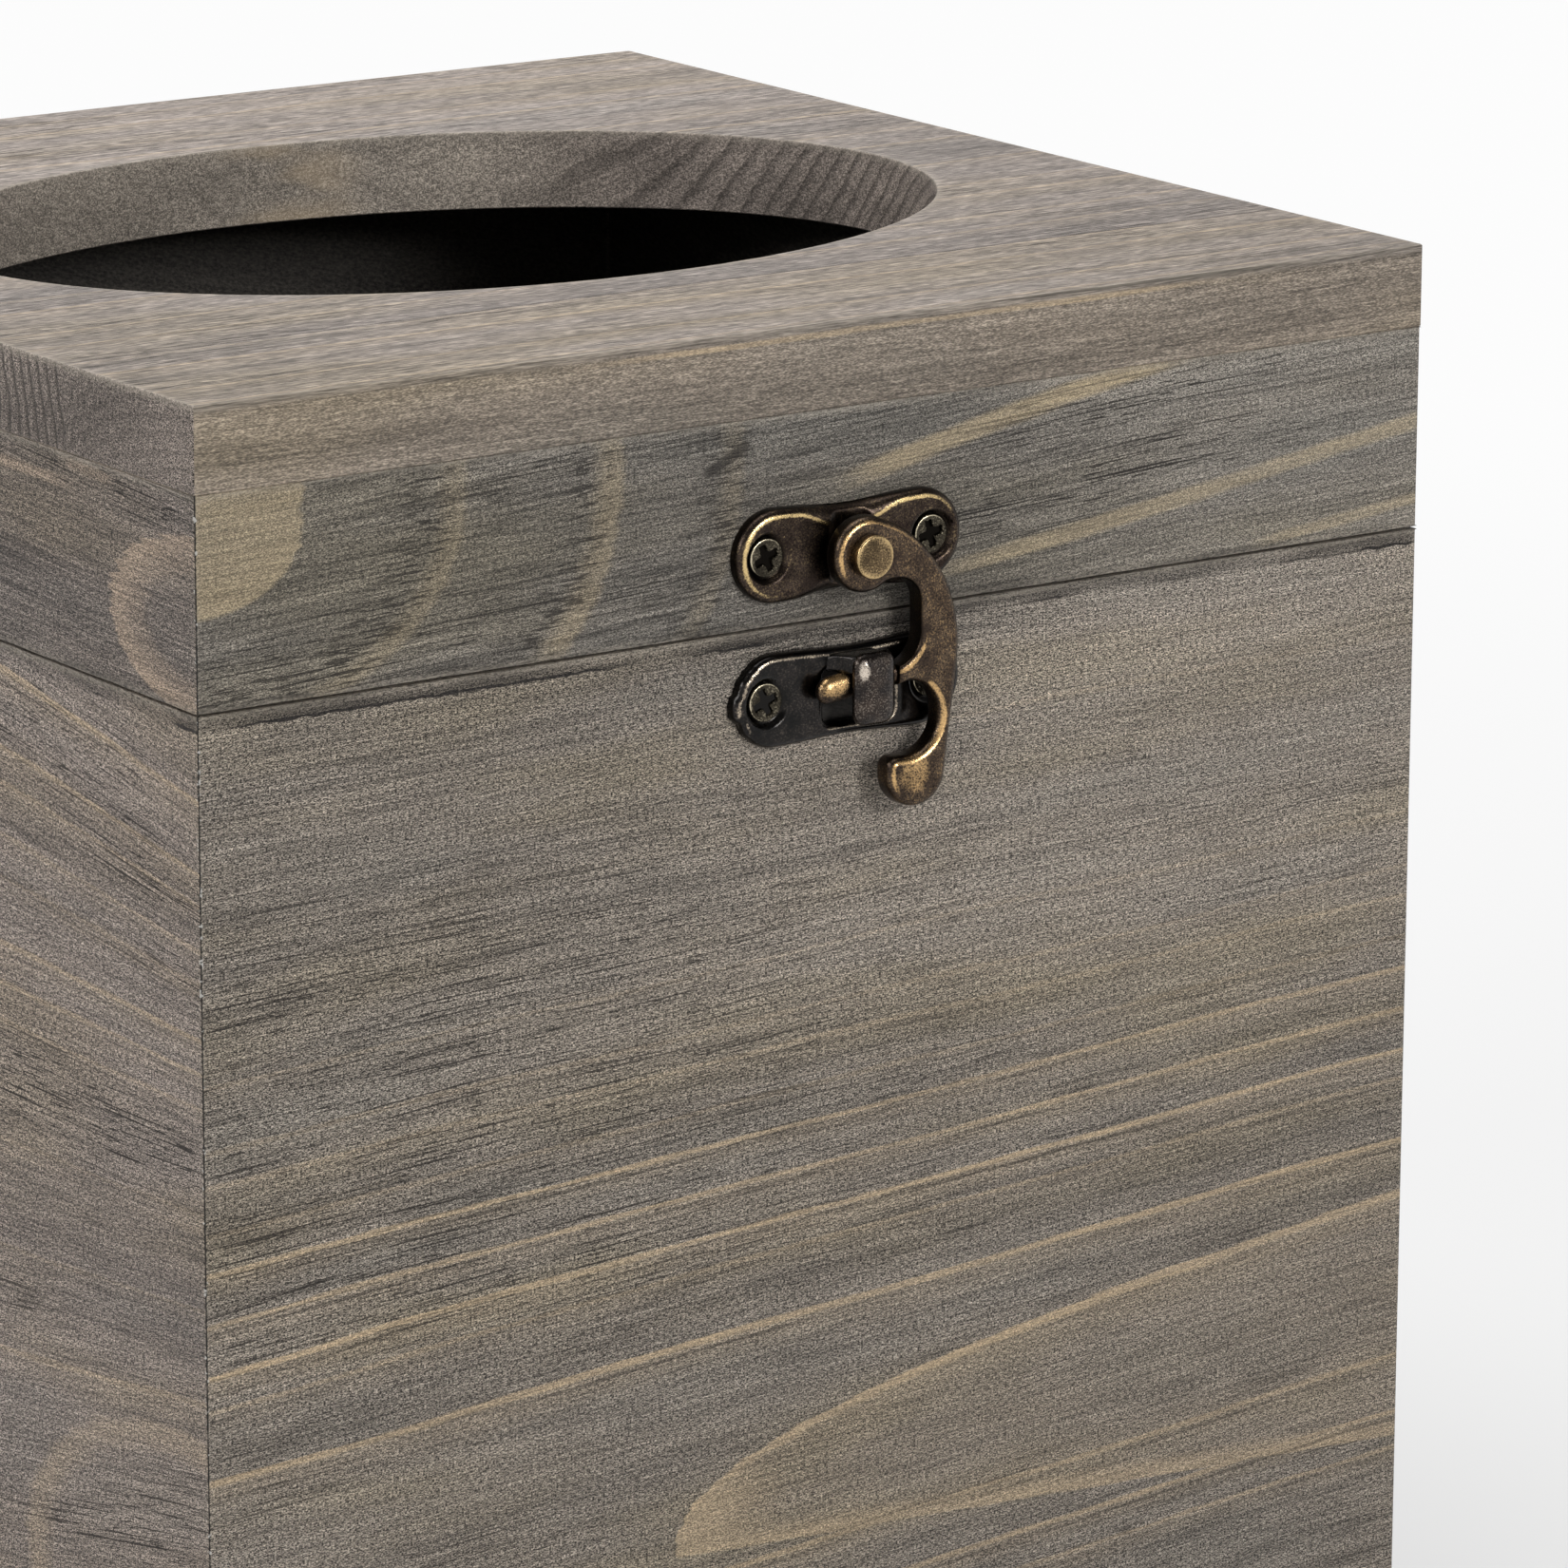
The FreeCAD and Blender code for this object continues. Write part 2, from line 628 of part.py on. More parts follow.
def hinge_leaf(label, x, side, knuckles):
    """A hinge leaf above the seam (side 1) or below it (side -1)."""
    body = new_body(label, x, "box_depth / 2", SEAM_LEVEL, turn=2)
    leaf = new_sketch(body, "leaf", "XZ_Plane")
    add_rectangle(leaf, "-hinge_length / 2", "hinge_length / 2",
                  f"{side} * (knuckle_radius + knuckle_play)", f"{side} * leaf_height")
    pad(body, leaf, "leaf_thickness")
    for number, (start, length) in enumerate(knuckles, start=1):
        hinge_knuckle(body, f"knuckle_{number}", start, length, side)
    bore = new_sketch(body, "bore", "YZ_Plane")
    add_circle(bore, f"-{KNUCKLE_AXIS}", "0", "hinge_pin_radius + hinge_pin_play")
    pocket(body, bore)
    spots = [(spot, f"{side} * hinge_screw_height") for spot in HINGE_SCREW_SPOTS]
    countersunk_holes(body, spots, "leaf_thickness", "hinge_screw_head", "hinge_screw_shank",
                      "hinge_screw_sink")


def hinge_pin(label, x):
    """The pin that runs through the knuckles of both leaves."""
    body = new_body(label, x, "box_depth / 2", SEAM_LEVEL, turn=2)
    section = new_sketch(body, "section", "YZ_Plane")
    add_circle(section, f"-{KNUCKLE_AXIS}", "0", "hinge_pin_radius")
    pad(body, section, "hinge_length + 2 * hinge_pin_overhang", both_ways=True)


HINGE_SCREW_SPOTS = ("-hinge_screw_spacing / 2", "hinge_screw_spacing / 2")
HINGE_PLACES = {"left": "-hinge_spacing / 2", "right": "hinge_spacing / 2"}
LID_KNUCKLES = [("-knuckle_length / 2", "knuckle_length")]
OUTER_KNUCKLE = "(hinge_length / 2 - knuckle_length / 2 - knuckle_play)"
BASE_KNUCKLES = [("-hinge_length / 2", OUTER_KNUCKLE),
                 ("(knuckle_length / 2 + knuckle_play)", OUTER_KNUCKLE)]

# Where the screws stand: across, up, and how far the head stands out of the wood
PLATE_SCREW_TOP = "plate_height - screw_sink"
CATCH_SCREW_TOP = "catch_height - screw_sink"
HINGE_SCREW_TOP = "leaf_thickness - hinge_screw_sink"
HINGE_SCREW_ACROSS = [f"{place} + {spot}" for place in HINGE_PLACES.values() for spot in HINGE_SCREW_SPOTS]


def pilot_holes(across, level, shank, length, top):
    """Holes in a wall for a row of screws, just deeper than the screws."""
    return [(x, level, shank, f"{length} - ({top}) + screw_play") for x in across]


def latch_screws(label, level, top):
    """The two screws of the latch plate or of the catch plate."""
    screws = []
    for number, spot in enumerate(PLATE_SCREW_SPOTS, start=1):
        name = f"{label}_{number}"
        x = f"latch_offset + {spot}"
        screws.append(screw(name, x, "-box_depth / 2", level, 0, top, "screw_head", "screw_shank",
                            "screw_length"))
    screw_group(label, screws)


def hinge_screws(label, level):
    """The screws of both hinges above the seam or below it."""
    screws = []
    for number, x in enumerate(HINGE_SCREW_ACROSS, start=1):
        name = f"{label}_{number}"
        screws.append(screw(name, x, "box_depth / 2", level, 2, HINGE_SCREW_TOP, "hinge_screw_head",
                            "hinge_screw_shank", "hinge_screw_length"))
    screw_group(label, screws)


# Assembly

LATCH_ACROSS = [f"latch_offset + {spot}" for spot in PLATE_SCREW_SPOTS]
LID_HINGE_LEVEL = f"({SEAM_LEVEL} + hinge_screw_height)"
BASE_HINGE_LEVEL = f"({SEAM_LEVEL} - hinge_screw_height)"

flat_board("base_bottom_board", "0")
box_sides(
    "base", "panel", f"{BASE_TOP} - board", "board", True,
    pilot_holes(LATCH_ACROSS, CATCH_LEVEL, "screw_shank", "screw_length", CATCH_SCREW_TOP),
    pilot_holes(HINGE_SCREW_ACROSS, BASE_HINGE_LEVEL, "hinge_screw_shank", "hinge_screw_length",
                HINGE_SCREW_TOP),
)
box_sides(
    "lid", "rail", f"box_height - board - {LID_FLOOR}", LID_FLOOR, False,
    pilot_holes(LATCH_ACROSS, LATCH_LEVEL, "screw_shank", "screw_length", PLATE_SCREW_TOP),
    pilot_holes(HINGE_SCREW_ACROSS, LID_HINGE_LEVEL, "hinge_screw_shank", "hinge_screw_length",
                HINGE_SCREW_TOP),
)
lid_top_board()
latch_plate()
latch_rivet()
latch_hook()
catch_plate()
latch_screws("latch_plate_screws", LATCH_LEVEL, PLATE_SCREW_TOP)
latch_screws("catch_plate_screws", CATCH_LEVEL, CATCH_SCREW_TOP)
for place, x in HINGE_PLACES.items():
    hinge_leaf(f"hinge_{place}_lid_leaf", x, 1, LID_KNUCKLES)
    hinge_leaf(f"hinge_{place}_base_leaf", x, -1, BASE_KNUCKLES)
    hinge_pin(f"hinge_{place}_pin", x)
hinge_screws("hinge_lid_screws", LID_HINGE_LEVEL)
hinge_screws("hinge_base_screws", BASE_HINGE_LEVEL)
doc.recompute()

for item in doc.Objects:
    if "Invalid" in item.State or "Error" in item.State:
        raise RuntimeError(f"{item.Label} failed: {item.State}")
for item in sub_parts:
    if item.Shape.isNull() or not item.Shape.isValid():
        raise RuntimeError(f"{item.Label} has no valid shape")

os.makedirs("parts", exist_ok=True)
for item in sub_parts:
    item.Shape.exportStep(f"parts/{item.Label}.step")
    print(f"{item.Label}: {len(item.Shape.Solids)} solid(s), {item.Shape.Volume:.1f} mm3")
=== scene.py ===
"""Looks of a square wooden tissue box cover with a hinged lid and a swing hook latch.

Everything is in the frame of the part: origin in the middle of the resting face, +X to the
right as seen from the latch side, +Y to the hinges, +Z up. Sizes are named in millimetres and
turned into metres when a mesh is made.
"""
import math

import bmesh
import bpy
import numpy as np
from mathutils import Matrix, Vector, geometry, noise


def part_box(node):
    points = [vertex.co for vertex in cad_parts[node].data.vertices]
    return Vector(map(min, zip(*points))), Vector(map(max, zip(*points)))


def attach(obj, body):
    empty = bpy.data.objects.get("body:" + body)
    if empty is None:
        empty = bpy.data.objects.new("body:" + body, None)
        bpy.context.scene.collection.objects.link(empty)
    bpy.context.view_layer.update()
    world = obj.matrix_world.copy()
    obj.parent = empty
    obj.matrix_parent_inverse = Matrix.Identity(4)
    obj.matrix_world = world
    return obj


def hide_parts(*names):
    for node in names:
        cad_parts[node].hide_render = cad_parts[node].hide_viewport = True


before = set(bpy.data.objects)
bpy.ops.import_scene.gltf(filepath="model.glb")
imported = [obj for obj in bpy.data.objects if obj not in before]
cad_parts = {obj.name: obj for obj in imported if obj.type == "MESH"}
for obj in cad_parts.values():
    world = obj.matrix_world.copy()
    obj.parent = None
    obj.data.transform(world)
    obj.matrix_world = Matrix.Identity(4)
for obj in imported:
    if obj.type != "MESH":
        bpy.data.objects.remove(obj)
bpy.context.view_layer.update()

MM = 0.001
# Edges that turn by more than this stay crisp
SHARP_ANGLE = math.radians(40.0)

# Wood, a hair inside the solids: half width, walls, easing of the edges, swelling that narrows the seam,
# and how far rubbing reaches from an edge
HALF = 74.998
WALL = 9.0
SEAM_EASING = 0.13
SEAM_FILL = 0.08
JOINT_EASING = 0.12
INNER_EASING = 0.3
CORNER_EASING = 0.16
BOARD_EASING = 0.2
WEAR_REACH = 1.0
SEAM_RAGGED = 0.11
WALL_STATIONS = 61
OVAL_HALF_LENGTH = 58.3
OVAL_HALF_WIDTH = 43.4
# Strips of the top's section: up its edge, over its face, down the opening and back underneath
TOP_STRIPS = ["edge"] * 4 + ["face"] * 7 + ["hole"] * 4 + ["face", "under", "face"] + ["edge"] * 2
STRIP_SLOTS = {"face": 0, "edge": 1, "under": 2, "hole": 3}

# Latch on the front: where it stands, and heights out from the front face
LATCH_X = 0.75
LATCH_Z = 137.1
PIVOT_Z = 136.75
CATCH_Z = 122.2
SCREW_SPOT = 10.1
PLATE_HALF_LENGTH = 13.8
PLATE_HALF_WIDTH = 4.85
LATCH_PLATE_TOP = 1.5
CATCH_PLATE_TOP = 1.4
LATCH_WAIST = 0.5
CATCH_WAIST = 0.3
CAST_END = 0.45
CAST_NUB = 0.4
PLATE_ROUNDING = 0.95
SEAT_DEPTH = 0.6
SEAT_INNER = 2.1
SEAT_OUTER = 2.75
NECK_SOFTENING = 1.1
NECK_REACH = (2.0, 6.5)
NECK_END = (1.5, 2.9)
NECK_TOP = 0.85
LOBE_DISH = 0.12
CATCH_ROUNDING = 0.85
CATCH_DISH = 0.10
RUBBED_END = (-13.2, -0.6)
# Distances from the rim at which a relief is drawn finely
RINGS = (0.03, 0.1, 0.2, 0.33, 0.48, 0.66, 0.86, 1.08)
BOSS_RADIUS = 2.6
BOSS_TOP = 2.15
HOOK_BACK = 2.2
HOOK_FRONT = 4.6
HOOK_ROUNDING = 1.0
HOOK_UNDERSIDE = 0.8
RIVET_RADIUS = 2.25
RIVET_TOP = 5.75
RIVET_SHANK = 1.25
RIVET_EASING = 0.22
PRONG_DROP = 13.4
PRONG_SLOPE = math.radians(6.2)
PRONG_TIP = -5.0
FINGER_HEIGHT = 2.6
BULLET_LENGTH = 1.3
BULLET_HALF_WIDTH = 1.38
BULLET_HALF_DEPTH = 0.92
# Sections of the finger from its root to the bullet: across, height out, half width, half depth
FINGER_SECTIONS = [
    (5.6, 3.3, 0.95, 1.0), (4.4, 3.15, 1.0, 0.98), (3.2, 2.75, 1.12, 0.92), (1.6, 2.62, 1.25, 0.88),
    (-0.6, 2.6, 1.36, 0.88), (-1.9, 2.6, 1.42, 0.9),
]
TAB_LEFT = -1.45
TAB_RIGHT = 3.55
TAB_LOW = -3.2
TAB_HIGH = 4.4
TAB_BACK = 3.8
TAB_FRONT = 5.0
TAB_ROUNDING = 2.3
TAB_SWELL = 1.1
ROOT_REACH = 1.6
WINDOW_LEFT = -3.05
WINDOW_RIGHT = 5.15
WINDOW_LOW = -3.1
WINDOW_HIGH = 2.3

# Hook outline about the rivet: centre across, centre up, radius
EYE = (0.0, 0.0, 3.95)
ARM = (-3.4, -10.409, 14.9)
FOOT = (6.3, -23.35, 3.6)
TOE_CORNER = 1.1
BAY = (5.2, -17.65, 3.85)
CROOK = (3.32, -8.75, 3.3)
GAP = (3.72, -5.752, 2.9)
PRONG_ROOT = 3.95

# Hinges on the back
HINGE_X = 42.0
HINGE_AXIS_OUT = 1.45
SEAM_Z = 129.6
LEAF_HALF_LENGTH = 9.0
LEAF_HEIGHT = 9.0
LEAF_TOP = 0.8
KNUCKLE_RADIUS = 1.245
KNUCKLE_BORE = 0.7
KNUCKLE_HALF = 3.0
KNUCKLE_PLAY = 0.2
PIN_RADIUS = 0.65
PIN_HALF = 9.3
HINGE_SCREW_ACROSS = 5.5
HINGE_SCREW_UP = 5.6
HINGE_SCREW_RADIUS = 1.5
HINGE_SCREW_LENGTH = 7.0
LEAF_SEAT_DEPTH = 0.42
LEAF_SEAT = (1.5, 1.85)
LEAF_CORNER = 0.8
LEAF_INNER_CORNER = 0.15
LEAF_EASING = 0.2
KNUCKLE_EASING = 0.12

# Screws of the latch, and the cross recess of every screw in shares of its radius
LATCH_SCREW_RADIUS = 2.0
LATCH_SCREW_LENGTH = 7.6
SCREW_SUNK = 0.42
SCREW_RINGS = (0.03, 0.08, 0.14)
RECESS_SPAN = 0.70
RECESS_WIDTH = 0.19
RECESS_DEPTH = 0.5

# Camera, from the straight edges of the box in the photograph
PHOTO_SIDE = 1650
PHOTO_FOCUS = 8829.9
SENSOR = 36.0
VIEW_AZIMUTH = math.radians(-34.79)
VIEW_ELEVATION = math.radians(14.32)
VIEW_ROLL = math.radians(0.19)
TOP_CENTRE_SEEN = Vector((-37.318, 61.644, 898.49))
TOP_CENTRE = Vector((0.0, 0.0, 160.0))


# Shader fields

class Field:
    """A number that varies over a surface: a socket of a node tree, with arithmetic."""

    def __init__(self, tree, socket):
        self.tree = tree
        self.socket = socket

    def node(self, kind, **settings):
        made = self.tree.nodes.new(kind)
        for key, value in settings.items():
            setattr(made, key, value)
        return made

    def plug(self, value, target):
        if isinstance(value, Field):
            self.tree.links.new(value.socket, target)
        else:
            target.default_value = value

    def math(self, operation, *values):
        made = self.node("ShaderNodeMath", operation=operation)
        for value, target in zip(values, made.inputs):
            self.plug(value, target)
        return Field(self.tree, made.outputs[0])

    def __add__(self, other):
        return self.math("ADD", self, other)

    def __radd__(self, other):
        return self.math("ADD", other, self)

    def __sub__(self, other):
        return self.math("SUBTRACT", self, other)

    def __rsub__(self, other):
        return self.math("SUBTRACT", other, self)

    def __mul__(self, other):
        return self.math("MULTIPLY", self, other)

    def __truediv__(self, other):
        return self.math("DIVIDE", self, other)

    def power(self, other):
        return self.math("POWER", self, other)

    def largest(self, other):
        return self.math("MAXIMUM", self, other)

    def smallest(self, other):
        return self.math("MINIMUM", self, other)

    def size(self):
        return self.math("ABSOLUTE", self)

    def bounded(self):
        """The same number near 0, kept under 1 far from it."""
        return self.math("TANH", self)

    def fraction(self):
        """The part after the decimal point."""
        return self.math("FRACT", self)

    def between(self, low, high):
        """0 below low, 1 above high, and smooth in between; low may be above high."""
        made = self.node("ShaderNodeMapRange", interpolation_type="SMOOTHSTEP", clamp=True)
        self.plug(self, made.inputs["Value"])
        made.inputs["From Min"].default_value = low
        made.inputs["From Max"].default_value = high
        return Field(self.tree, made.outputs["Result"])


class Surface:
    """A node material in the making, with the part's own coordinates in millimetres."""

    def __init__(self, name):
        self.material = bpy.data.materials.new(name)
        self.material.use_nodes = True
        self.tree = self.material.node_tree
        self.shader = self.tree.nodes["Principled BSDF"]
        place = self.tree.nodes.new("ShaderNodeTexCoord")
        split = self.tree.nodes.new("ShaderNodeSeparateXYZ")
        self.tree.links.new(place.outputs["Object"], split.inputs[0])
        self.x, self.y, self.z = (Field(self.tree, out) * (1 / MM) for out in split.outputs)

    def attribute(self, name):
        """A number painted on the mesh."""
        made = self.tree.nodes.new("ShaderNodeAttribute")
        made.attribute_name = name
        return Field(self.tree, made.outputs["Fac"])

    def point(self, *values):
        made = self.tree.nodes.new("ShaderNodeCombineXYZ")
        for value, target in zip(values, made.inputs):
            self.x.plug(value, target)
        return made.outputs[0]

    def noise(self, u, v, w, detail=2.0, roughness=0.5):
        """Smooth noise, about 0.5 on average, that changes over one unit of u, v and w."""
        made = self.tree.nodes.new("ShaderNodeTexNoise")
        self.tree.links.new(self.point(u, v, w), made.inputs["Vector"])
        made.inputs["Scale"].default_value = 1.0
        made.inputs["Detail"].default_value = detail
        made.inputs["Roughness"].default_value = roughness
        return Field(self.tree, made.outputs["Fac"])

    def grain(self, u, v, w):
        """A factor of about 1 for specks of light and dark, coarse and fine, one per unit."""
        speck = self.noise(u, v, w, roughness=0.6)
        dust = self.noise(u * 2.7, v * 2.2, w * 2.2, detail=1.0)
        return speck, ((speck - 0.5) * SPECK_CONTRAST + (dust - 0.5) * DUST_CONTRAST + 1.0).largest(0.12)

    def mix(self, factor, first, second, blend="MIX"):
        """A colour between two colours."""
        made = self.tree.nodes.new("ShaderNodeMix")
        made.data_type = "RGBA"
        made.blend_type = blend
        self.x.plug(factor, made.inputs["Factor"])
        for value, target in ((first, made.inputs[6]), (second, made.inputs[7])):
            if isinstance(value, Field):
                self.tree.links.new(value.socket, target)
            else:
                target.default_value = (*value, 1.0)
        return Field(self.tree, made.outputs[2])

    def finish(self, colour, roughness, height, depth_mm, metallic=0.0, specular=0.2):
        """Plugs the colour, roughness and relief into the shader."""
        self.tree.links.new(colour.socket, self.shader.inputs["Base Color"])
        self.tree.links.new(roughness.socket, self.shader.inputs["Roughness"])
        self.shader.inputs["Metallic"].default_value = metallic
        self.shader.inputs["Specular IOR Level"].default_value = specular
        bump = self.tree.nodes.new("ShaderNodeBump")
        bump.inputs["Distance"].default_value = depth_mm * MM
        self.tree.links.new(height.socket, bump.inputs["Height"])
        self.tree.links.new(bump.outputs["Normal"], self.shader.inputs["Normal"])
        return self.material


# Wood materials

SPECK_CONTRAST = 4.8
DUST_CONTRAST = 8.0
STAIN_DARK = (0.040, 0.035, 0.030)
STAIN_PALE = (0.350, 0.305, 0.256)
LATEWOOD = (0.460, 0.352, 0.226)
GOLDEN_LATEWOOD = (0.440, 0.350, 0.218)
BROWN_LATEWOOD = (0.430, 0.325, 0.235)
# Dark of open pores and grain lines, also used for the painted shade along the seam
PORE_AND_SHADE = (0.020, 0.017, 0.015)
WORN_EDGE = (0.360, 0.318, 0.262)
FLECK = (0.600, 0.580, 0.545)
JOINT_DARK = (0.014, 0.013, 0.012)
# Inside pine, darkened to near black as painted shade
INSIDE_SHADE_DARK = (0.016, 0.015, 0.014)
INSIDE_SHADE_PALE = (0.060, 0.054, 0.048)
OLIVE_TINT = (1.03, 1.00, 0.86)
SLATE_TINT = (0.95, 0.98, 1.00)
PLAIN_TINT = (1.0, 1.0, 1.0)
MAUVE_TINT = (1.0, 0.967, 1.0)
COOL_TINT = (1.0, 1.035, 1.06)
STRAW_TINT = (1.04, 1.010, 0.91)
TOP_TINT = (1.0, 0.99, 1.05)
RING_TILT = 1.0

# The top is glued up from two boards: where they meet, and the hearts of their growth rings
GLUE_LINE = -50.5
BACK_HEART = (8.0, 139.0)
HEART_DRIFT = 0.5
FRONT_HEART = (-75.0, 112.0)
RING_PITCH = 1.8

# How far apart the boards lie in the noise, and the two boards of the glued-up top
SEED_STEP = 37.0
STAVE_SHIFT = 31.0
GLUE_BLUR = 0.15

# Streaks in the wood: cycles per millimetre along and across the growth lines
WAVES = (0.014, 0.03)
WAVE_HEIGHT = 2.4
FEATHERS = (0.10, 1.1)
SLOW_BANDS = (0.008, 0.05)
FINE_BANDS = (0.010, 0.55)
FIBRES = (0.15, 4.2)
LONG_PORES = (0.05, 4.8)
SHORT_PORES = (0.22, 5.2)
PORE_CROWDS = (0.015, 0.10)
DASHES = (0.35, 3.4)
MARK_PATCHES = (0.03, 0.25)
TINT_PATCHES = (0.018, 0.09)
STAVE_STRIPES = (0.006, 0.62)
# Patches of the painted shade along the seam
SEAM_PATCHES = (0.045, 0.3)
SPLIT_EDGE = (0.5, 1.5)
# Specks per millimetre along, across and through a board
FRONT_GRIT = (1.7, 4.8, 2.0)
SIDE_GRIT = (1.4, 4.8, 2.0)
TOP_GRIT = (0.25, 4.0, 4.8)
RIM_GRIT = (1.0, 2.0, 4.8)


class Board(Surface):
    """The material of one board in the making, with the run of its growth lines.

    axes are the coordinates along, across and through the board, and face is where its outer face
    lies. Growth lines rise by slope along the board, and by fan more for each step down from pivot;
    they level out after settle. glued is where the two boards of a glued-up top meet.
    """

    def __init__(self, name, axes, face, seed, slope=0.03, fan=0.0, pivot=0.0, settle=0.0, glued=None):
        super().__init__(name)
        self.seed = seed
        self.u, flat, self.w = (getattr(self, axis) for axis in axes)
        self.across = flat + (self.w - face) * RING_TILT
        self.su = self.u + seed * SEED_STEP
        self.v = self.across
        self.stave = None
        if glued:
            self.stave = self.across.between(glued + GLUE_BLUR, glued - GLUE_BLUR)
            self.rim = (self.w - face).size().between(0.3, 1.2) * self.stave
            self.glue = (self.across - glued).size().between(0.22, 0.06)
            self.v = self.across + self.stave * STAVE_SHIFT
        self.wave = (self.noise(self.su * WAVES[0], self.v * WAVES[1], seed, 1.0) - 0.5) * WAVE_HEIGHT
        self.feather = self.noise(self.su * FEATHERS[0], self.v * FEATHERS[1], seed + 5.0) - 0.5
        run = self.u + HALF
        if settle:
            run = (run * (1 / settle)).bounded() * settle
        self.thread = self.v - run * ((self.v - pivot) * (-fan) + slope) + self.wave

    def streaks(self, scale, layer, detail=2.0, roughness=0.5):
        """Noise drawn out along the growth lines, different in each layer."""
        return self.noise(self.su * scale[0], self.thread * scale[1], self.seed + layer, detail, roughness)


def line_band(u, v, start, end, width, bend, strength):
    """A streak between two points of the board, fading over its width and past its ends."""
    run = math.hypot(end[0] - start[0], end[1] - start[1])
    along = ((end[0] - start[0]) / run, (end[1] - start[1]) / run)
    du, dv = u - start[0], v - start[1]
    far = du * along[0] + dv * along[1]
    off = dv * along[0] - du * along[1]
    if bend:
        share = far * (1 / run) - 0.5
        off = off - (0.25 - share * share) * (4 * bend)
    inside = off.size().between(0.5 * width, 0.2 * width)
    ends = far.between(-0.12 * run, 0.15 * run) * far.between(1.1 * run, 0.9 * run)
    return inside * ends * strength


def strongest(marks):
    """The largest of several marks at each place."""
    total, *others = marks
    for mark in others:
        total = total.largest(mark)
    return total


def grain_lines(v, spots):
    """Latewood lines at levels across the grain: pale, sharp above, with a long faint tail below."""
    lines = []
    for level, width, strength in spots:
        below = level - v
        core = below.between(-0.14, 0.12) * below.between(width, 0.4 * width)
        tail = below.between(0.0, 0.3) * below.between(4.0 * width, 0.8 * width) * 0.28
        lines.append(core.largest(tail) * strength)
    return strongest(lines)


def under_lines(v, spots):
    """Thin dark lines close under the stronger latewood lines."""
    lines = []
    for level, width, strength in spots:
        below = level - width - v
        lines.append((below - 0.25).size().between(0.26, 0.08) * (0.7 * strength))
    return strongest(lines)


def random_lines(board, level, pitch, share):
    """Latewood lines at irregular levels, for a board without marked ones."""
    lines = board.noise(board.su * 0.004, level * (1 / pitch), board.seed, 2.5, 0.6)
    return lines.between(1.0 - share, 1.1 - share)


def ellipse(u, v, centre, wide, high):
    """Distance from a centre, 1 on an ellipse."""
    across = (u - centre[0]) * (1 / wide)
    up = (v - centre[1]) * (1 / high)
    return (across * across + up * up).power(0.5)


def seam_shade_and_split(board, seam, speck):
    """Patchy dark bands along the seam, painted shade where the eased edges by the seam lie in shade; below
    it, a split runs beside the edge.
    """
    edge, side = seam
    within = (edge - board.across) * side
    seam_patches = board.streaks(SEAM_PATCHES, 9.0).between(0.38, 0.56)
    rough = board.streaks(SPLIT_EDGE, 12.0) - 0.5
    if side < 0:
        return (within + rough * 0.8).between(1.1, 0.1) * (seam_patches * 0.4 + 0.3)
    band_shade = (within + rough).between(1.9, 0.9) * (seam_patches * 0.4 + 0.25)
    split = (within - 1.35 + rough * 0.7).size().between(0.22, 0.09) * (seam_patches * 0.9 + 0.18)
    return band_shade.largest(split) * (speck + 0.6)


def growth(board, spots, share, pitch, figure):
    """Pale latewood, dark lines under it, and the crowded dashes and dark marks of a figure."""
    level = board.thread + board.feather * 0.6
    late = random_lines(board, level, pitch, share) * 0.45
    shadow = random_lines(board, level + 0.3, pitch, share) * 0.45 - late
    if spots:
        shadow = (shadow * 0.5).largest(under_lines(level, spots))
        late = (late * 0.4).largest(grain_lines(level, spots))
    dense = dark = None
    if figure:
        marks, dense, dark = figure(board.u, board.across, board.wave, board.feather)
        late = late.largest(marks)
    patchy = board.streaks(MARK_PATCHES, 6.0)
    return late * (patchy + 0.45), shadow * patchy.between(0.40, 0.58), dense, dark


def open_pores(board, late, busy, dense):
    """Dark dashes where fibres lie open: in crowds, fewer on latewood and on the rim of the top."""
    pores = board.streaks(LONG_PORES, 3.0, 1.0).between(0.632, 0.655)
    pores = pores.largest(board.streaks(SHORT_PORES, 4.0, 1.0).between(0.65, 0.674))
    crowd = board.streaks(PORE_CROWDS, 7.0, 1.0).between(0.44, 0.64)
    if busy:
        crowd = (crowd * 0.5).largest(busy(board.u, board.across))
    pores = pores * (crowd * 0.8 + 0.2) * (1.0 - late * 0.5)
    if board.stave:
        pores = pores * (1.0 - board.rim * 0.7)
    if dense:
        pores = pores.largest(board.streaks(DASHES, 10.0, 1.0).between(0.57, 0.61) * dense)
    return pores


def tinted(board, colour, hue):
    """Olive and slate patches over the stain, and the hue of the whole board."""
    tint = board.streaks(TINT_PATCHES, 8.0)
    colour = board.mix(tint.between(0.44, 0.72) * 0.7, colour, OLIVE_TINT, "MULTIPLY")
    colour = board.mix(tint.between(0.50, 0.30) * 0.7, colour, SLATE_TINT, "MULTIPLY")
    colour = board.mix(1.0, colour, hue, "MULTIPLY")
    if board.stave:
        colour = board.mix(board.stave * 0.3 + board.rim * 0.7, colour, STRAW_TINT, "MULTIPLY")
    return colour


def rubbed_edges(board, colour, speck, fibre):
    """Rubbed edges, dark glue lines at the mitres and pale flecks beside them."""
    worn = board.attribute("wear_and_highlight") * (speck * 1.5 + fibre - 0.7)
    colour = board.mix(worn.between(0.05, 0.75) * 0.4, colour, WORN_EDGE)
    chip = board.noise(board.x * 1.4, board.y * 1.4, board.z * 1.4)
    joint_dirt_and_shade = board.attribute("joint_dirt_and_shade")
    colour = board.mix((joint_dirt_and_shade * (chip + 0.3)).between(0.3, 0.7), colour, JOINT_DARK)
    return board.mix(joint_dirt_and_shade.between(0.02, 0.2) * chip.between(0.60, 0.68) * 0.7, colour, FLECK)


